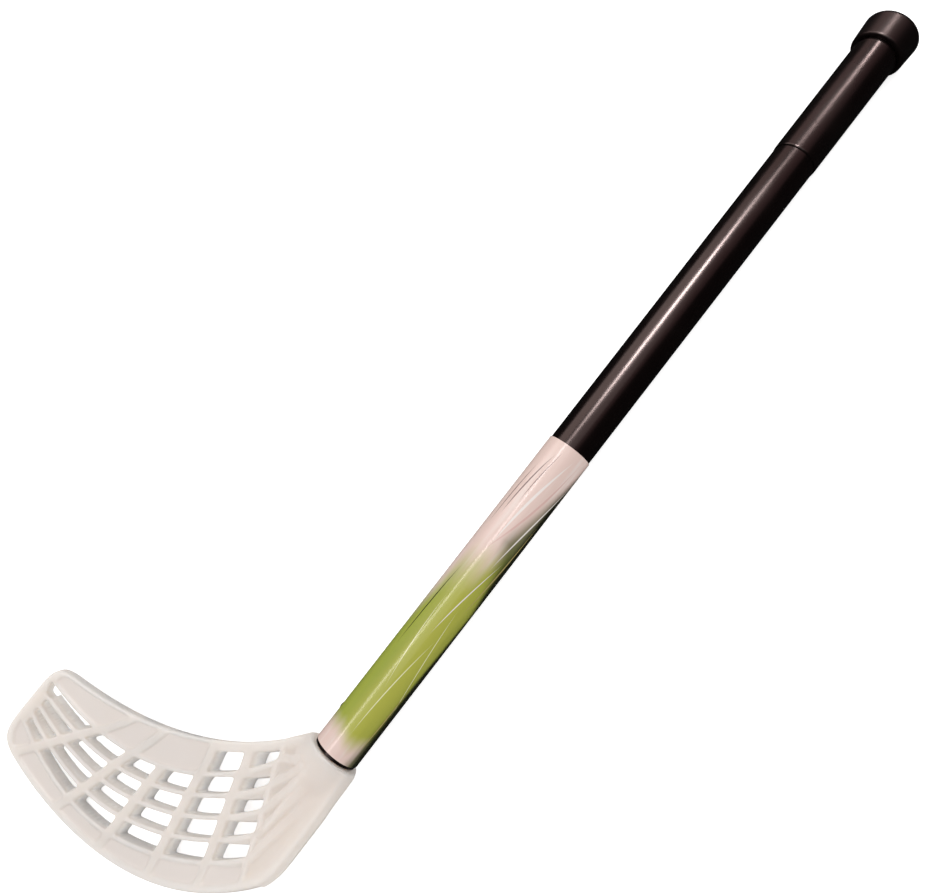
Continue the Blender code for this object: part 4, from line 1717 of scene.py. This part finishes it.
@dataclass(frozen=True)
class Studio:
    """The floor, the lamps and the camera, in metres.

    Attributes:
        camera_place: Where the camera is.
        camera_target: What it points at.
        camera_roll: How far it is turned about its view, in degrees.
        focal_pixels: The focal length in pixels of the picture.
        picture_width: The picture's width in pixels.
        sensor_width: The camera's sensor, in millimetres.
        floor_size: The floor's side.
        floor_drop: How far the floor is below the stick.
        floor_grey: The floor's colour.
        floor_glow: How much of its white the floor gives by itself.
        mirrored: How bright the white background is in reflections.
        ambient: How bright the world lights the stick.
        lamps: The lamps. Those that don't light only show in reflections.
        strip_start: Where the strip starts.
        strip_height: How high it hangs.
        strip_aim: The y that it points at.
        strip_width: Its width.
        strip_parts: Its parts.
    """

    camera_place: Triple = (-0.05131, -0.22645, 0.45944)
    camera_target: Triple = (-0.01361, -0.02177, 0.0)
    camera_roll: float = 42.237
    focal_pixels: float = 766.0
    picture_width: float = 930.0
    sensor_width: float = 36.0
    floor_size: float = 12.0
    floor_drop: float = 0.0004
    floor_grey: float = 0.9
    floor_glow: float = 0.65
    mirrored: float = 0.011
    ambient: float = 0.74
    lamps: tuple[Lamp, ...] = (
        Lamp("wall", (0.55, 1.30, 1.30), (0.55, 0.0, 0.0), (1.3, 1.3), 12.0,
             (1.0, 0.86, 0.82), lights=False),
        Lamp("upper wall", (1.75, 1.30, 1.30), (1.75, 0.0, 0.0), (1.1, 1.2), 3.6,
             (1.0, 0.68, 0.66), lights=False),
        Lamp("ceiling", (-0.2, -0.45, 2.2), (-0.1, 0.0, 0.0), (2.4, 1.3), 8.0,
             (1.0, 0.99, 0.98)),
        Lamp("warm ceiling", (1.5, -0.6, 2.2), (1.5, -0.6, 0.0), (2.6, 1.3), 6.0,
             (1.0, 0.62, 0.63), lights=False),
        Lamp("far ceiling", (1.5, -1.2, 2.2), (1.5, -1.2, 0.0), (2.6, 2.2), 7.0,
             (1.0, 0.60, 0.62), lights=False),
        Lamp("upper left", (-0.3, 1.3, 1.6), (-0.2, -0.05, 0.0), (1.6, 1.6), 10.0,
             (1.0, 0.97, 0.955), reflected=False),
    )
    strip_start: float = -0.58
    strip_height: float = 1.0
    strip_aim: float = -0.085
    strip_width: float = 0.13
    strip_parts: tuple[StripPart, ...] = (
        StripPart(0.28, 0.15, 3.3, 0.92), StripPart(0.36, 0.15, 12.8, 0.94),
        StripPart(0.665, 0.15, 33.0, 1.0), StripPart(0.72, 0.15, 15.5, 0.95),
        StripPart(0.84, 0.15, 5.2, 0.87), StripPart(1.04, 0.11, 1.4, 0.84),
        StripPart(1.15, 0.06, 6.8, 0.85), StripPart(1.32, 0.06, 26.0, 0.91))

    def build(self) -> None:
        """Set the whole studio up."""
        for lamp in self.lamps:
            lamp.hang()
        self.hang_strip()
        self.lay_floor()
        self.light_world()
        self.set_camera()
        bpy.context.scene.view_settings.view_transform = "Standard"

    def hang_strip(self) -> None:
        """Hang a narrow row of lamps along the shaft, which gives its highlight line."""
        start = self.strip_start
        for number, part in enumerate(self.strip_parts):
            middle, length = (start + part.end) / 2, part.end - start
            Lamp(f"strip {number}", (middle, part.y, self.strip_height), (middle, self.strip_aim, 0.0),
                 (length, self.strip_width), part.watts * length,
                 (1.0, part.white, part.white * 0.99), lights=False).hang()
            start = part.end

    def lay_floor(self) -> None:
        """Lay a plain pale floor that shows white and keeps the stick's shadow."""
        shell = bmesh.new()
        bmesh.ops.create_grid(shell, x_segments=1, y_segments=1, size=self.floor_size / 2)
        bmesh.ops.translate(shell, verts=shell.verts, vec=(0.0, 0.0, -self.floor_drop))
        mesh = bpy.data.meshes.new("floor")
        shell.to_mesh(mesh)
        shell.free()
        floor = bpy.data.objects.new("floor", mesh)
        bpy.context.scene.collection.objects.link(floor)
        paint = Paint("floor")
        seen, glossy = self.rays(paint)
        grey = paint.blend(glossy, self.floor_grey, self.floor_grey * self.mirrored)
        paint.set(Base_Color=grey, Roughness=0.9, Specular_IOR_Level=0.0,
                  Emission_Color=(1.0, 1.0, 1.0, 1.0), Emission_Strength=seen * self.floor_glow)
        mesh.materials.append(paint.material)

    def light_world(self) -> None:
        """Set a world that shows white and lights softly."""
        world = bpy.data.worlds.new("world")
        world.use_nodes = True
        plan = Plan(world.node_tree)
        seen, glossy = self.rays(plan)
        back = world.node_tree.nodes["Background"]
        back.inputs["Color"].default_value = (1.0, 0.99, 0.98, 1.0)
        plan.feed(back.inputs["Strength"], plan.most(seen, (1.0 - glossy) * self.ambient))
        bpy.context.scene.world = world

    def rays(self, plan: Plan) -> tuple[Formula, Formula]:
        """Which rays see the white background.

        Args:
            plan: The floor's or the world's tree.

        Returns:
            How white the background is for the ray, and whether the ray is a reflection.
        """
        path = plan.node("ShaderNodeLightPath").outputs
        glossy = Formula(plan, path["Is Glossy Ray"])
        camera = Formula(plan, path["Is Camera Ray"])
        passed = Formula(plan, path["Is Transmission Ray"])
        white = plan.most(camera, passed)
        return plan.most(white, glossy * self.mirrored), glossy

    def set_camera(self) -> None:
        """Set the camera at the photograph's viewing angle."""
        lens = bpy.data.cameras.new("camera")
        lens.sensor_width = self.sensor_width
        lens.lens = self.focal_pixels * self.sensor_width / self.picture_width
        lens.clip_start = 0.01
        item = bpy.data.objects.new("camera", lens)
        aim = Vector(self.camera_target) - Vector(self.camera_place)
        roll = Matrix.Rotation(-math.radians(self.camera_roll), 3, "Z")
        turn = aim.to_track_quat("-Z", "Y").to_matrix() @ roll
        item.matrix_world = Matrix.Translation(self.camera_place) @ turn.to_4x4()
        bpy.context.scene.collection.objects.link(item)
        bpy.context.scene.camera = item


def adopt(item: bpy.types.Object, node: Node) -> None:
    """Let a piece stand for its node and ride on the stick.

    Args:
        item: The piece.
        node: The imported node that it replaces.
    """
    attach(item, BODY)
    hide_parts(node.value)
    log.info("%s: %d corners, %d faces", item.name, len(item.data.vertices), len(item.data.polygons))


def main() -> None:
    """Build and dress the stick, then set up the studio."""
    logging.basicConfig(level=logging.INFO, format="%(name)s: %(message)s")
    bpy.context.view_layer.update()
    axes = StickAxes.from_nodes(frame["nodes"])
    log.info("axes: %s", [[round(value, 6) for value in row] for row in axes.matrix])
    adopt(Blade().build(axes, MilkyPlastic().material()), Node.BLADE)
    gloss_black = BlackPlastic(Slot.TUBE, 0.22, 0.0002)
    grip_black = BlackPlastic(Slot.GRIP, 0.24, 0.0003)
    knob_black = BlackPlastic(Slot.KNOB, 0.31, 0.002, colour=(0.0022, 0.0010, 0.0011))
    tube = Sleeve("shaft", Node.TUBE, Slot.TUBE, 1.8, 0.5)
    film = Sleeve("printed_film", Node.FILM, Slot.FILM, 0.4, 0.15, ripple=0.025)
    grip = Sleeve("grip_film", Node.GRIP, Slot.GRIP, 0.3, 0.1, taper=1.6)
    adopt(tube.build(axes, gloss_black.material()), tube.node)
    adopt(film.build(axes, PrintedFilm().material()), film.node)
    adopt(grip.build(axes, grip_black.material()), grip.node)
    adopt(Knob().build(axes, knob_black.material()), Node.KNOB)
    screw = frame["nodes"][Node.SCREW.value]
    screw.data.materials.clear()
    screw.data.materials.append(ZincSteel().material())
    Studio().build()


if __name__ == "__main__":
    main()
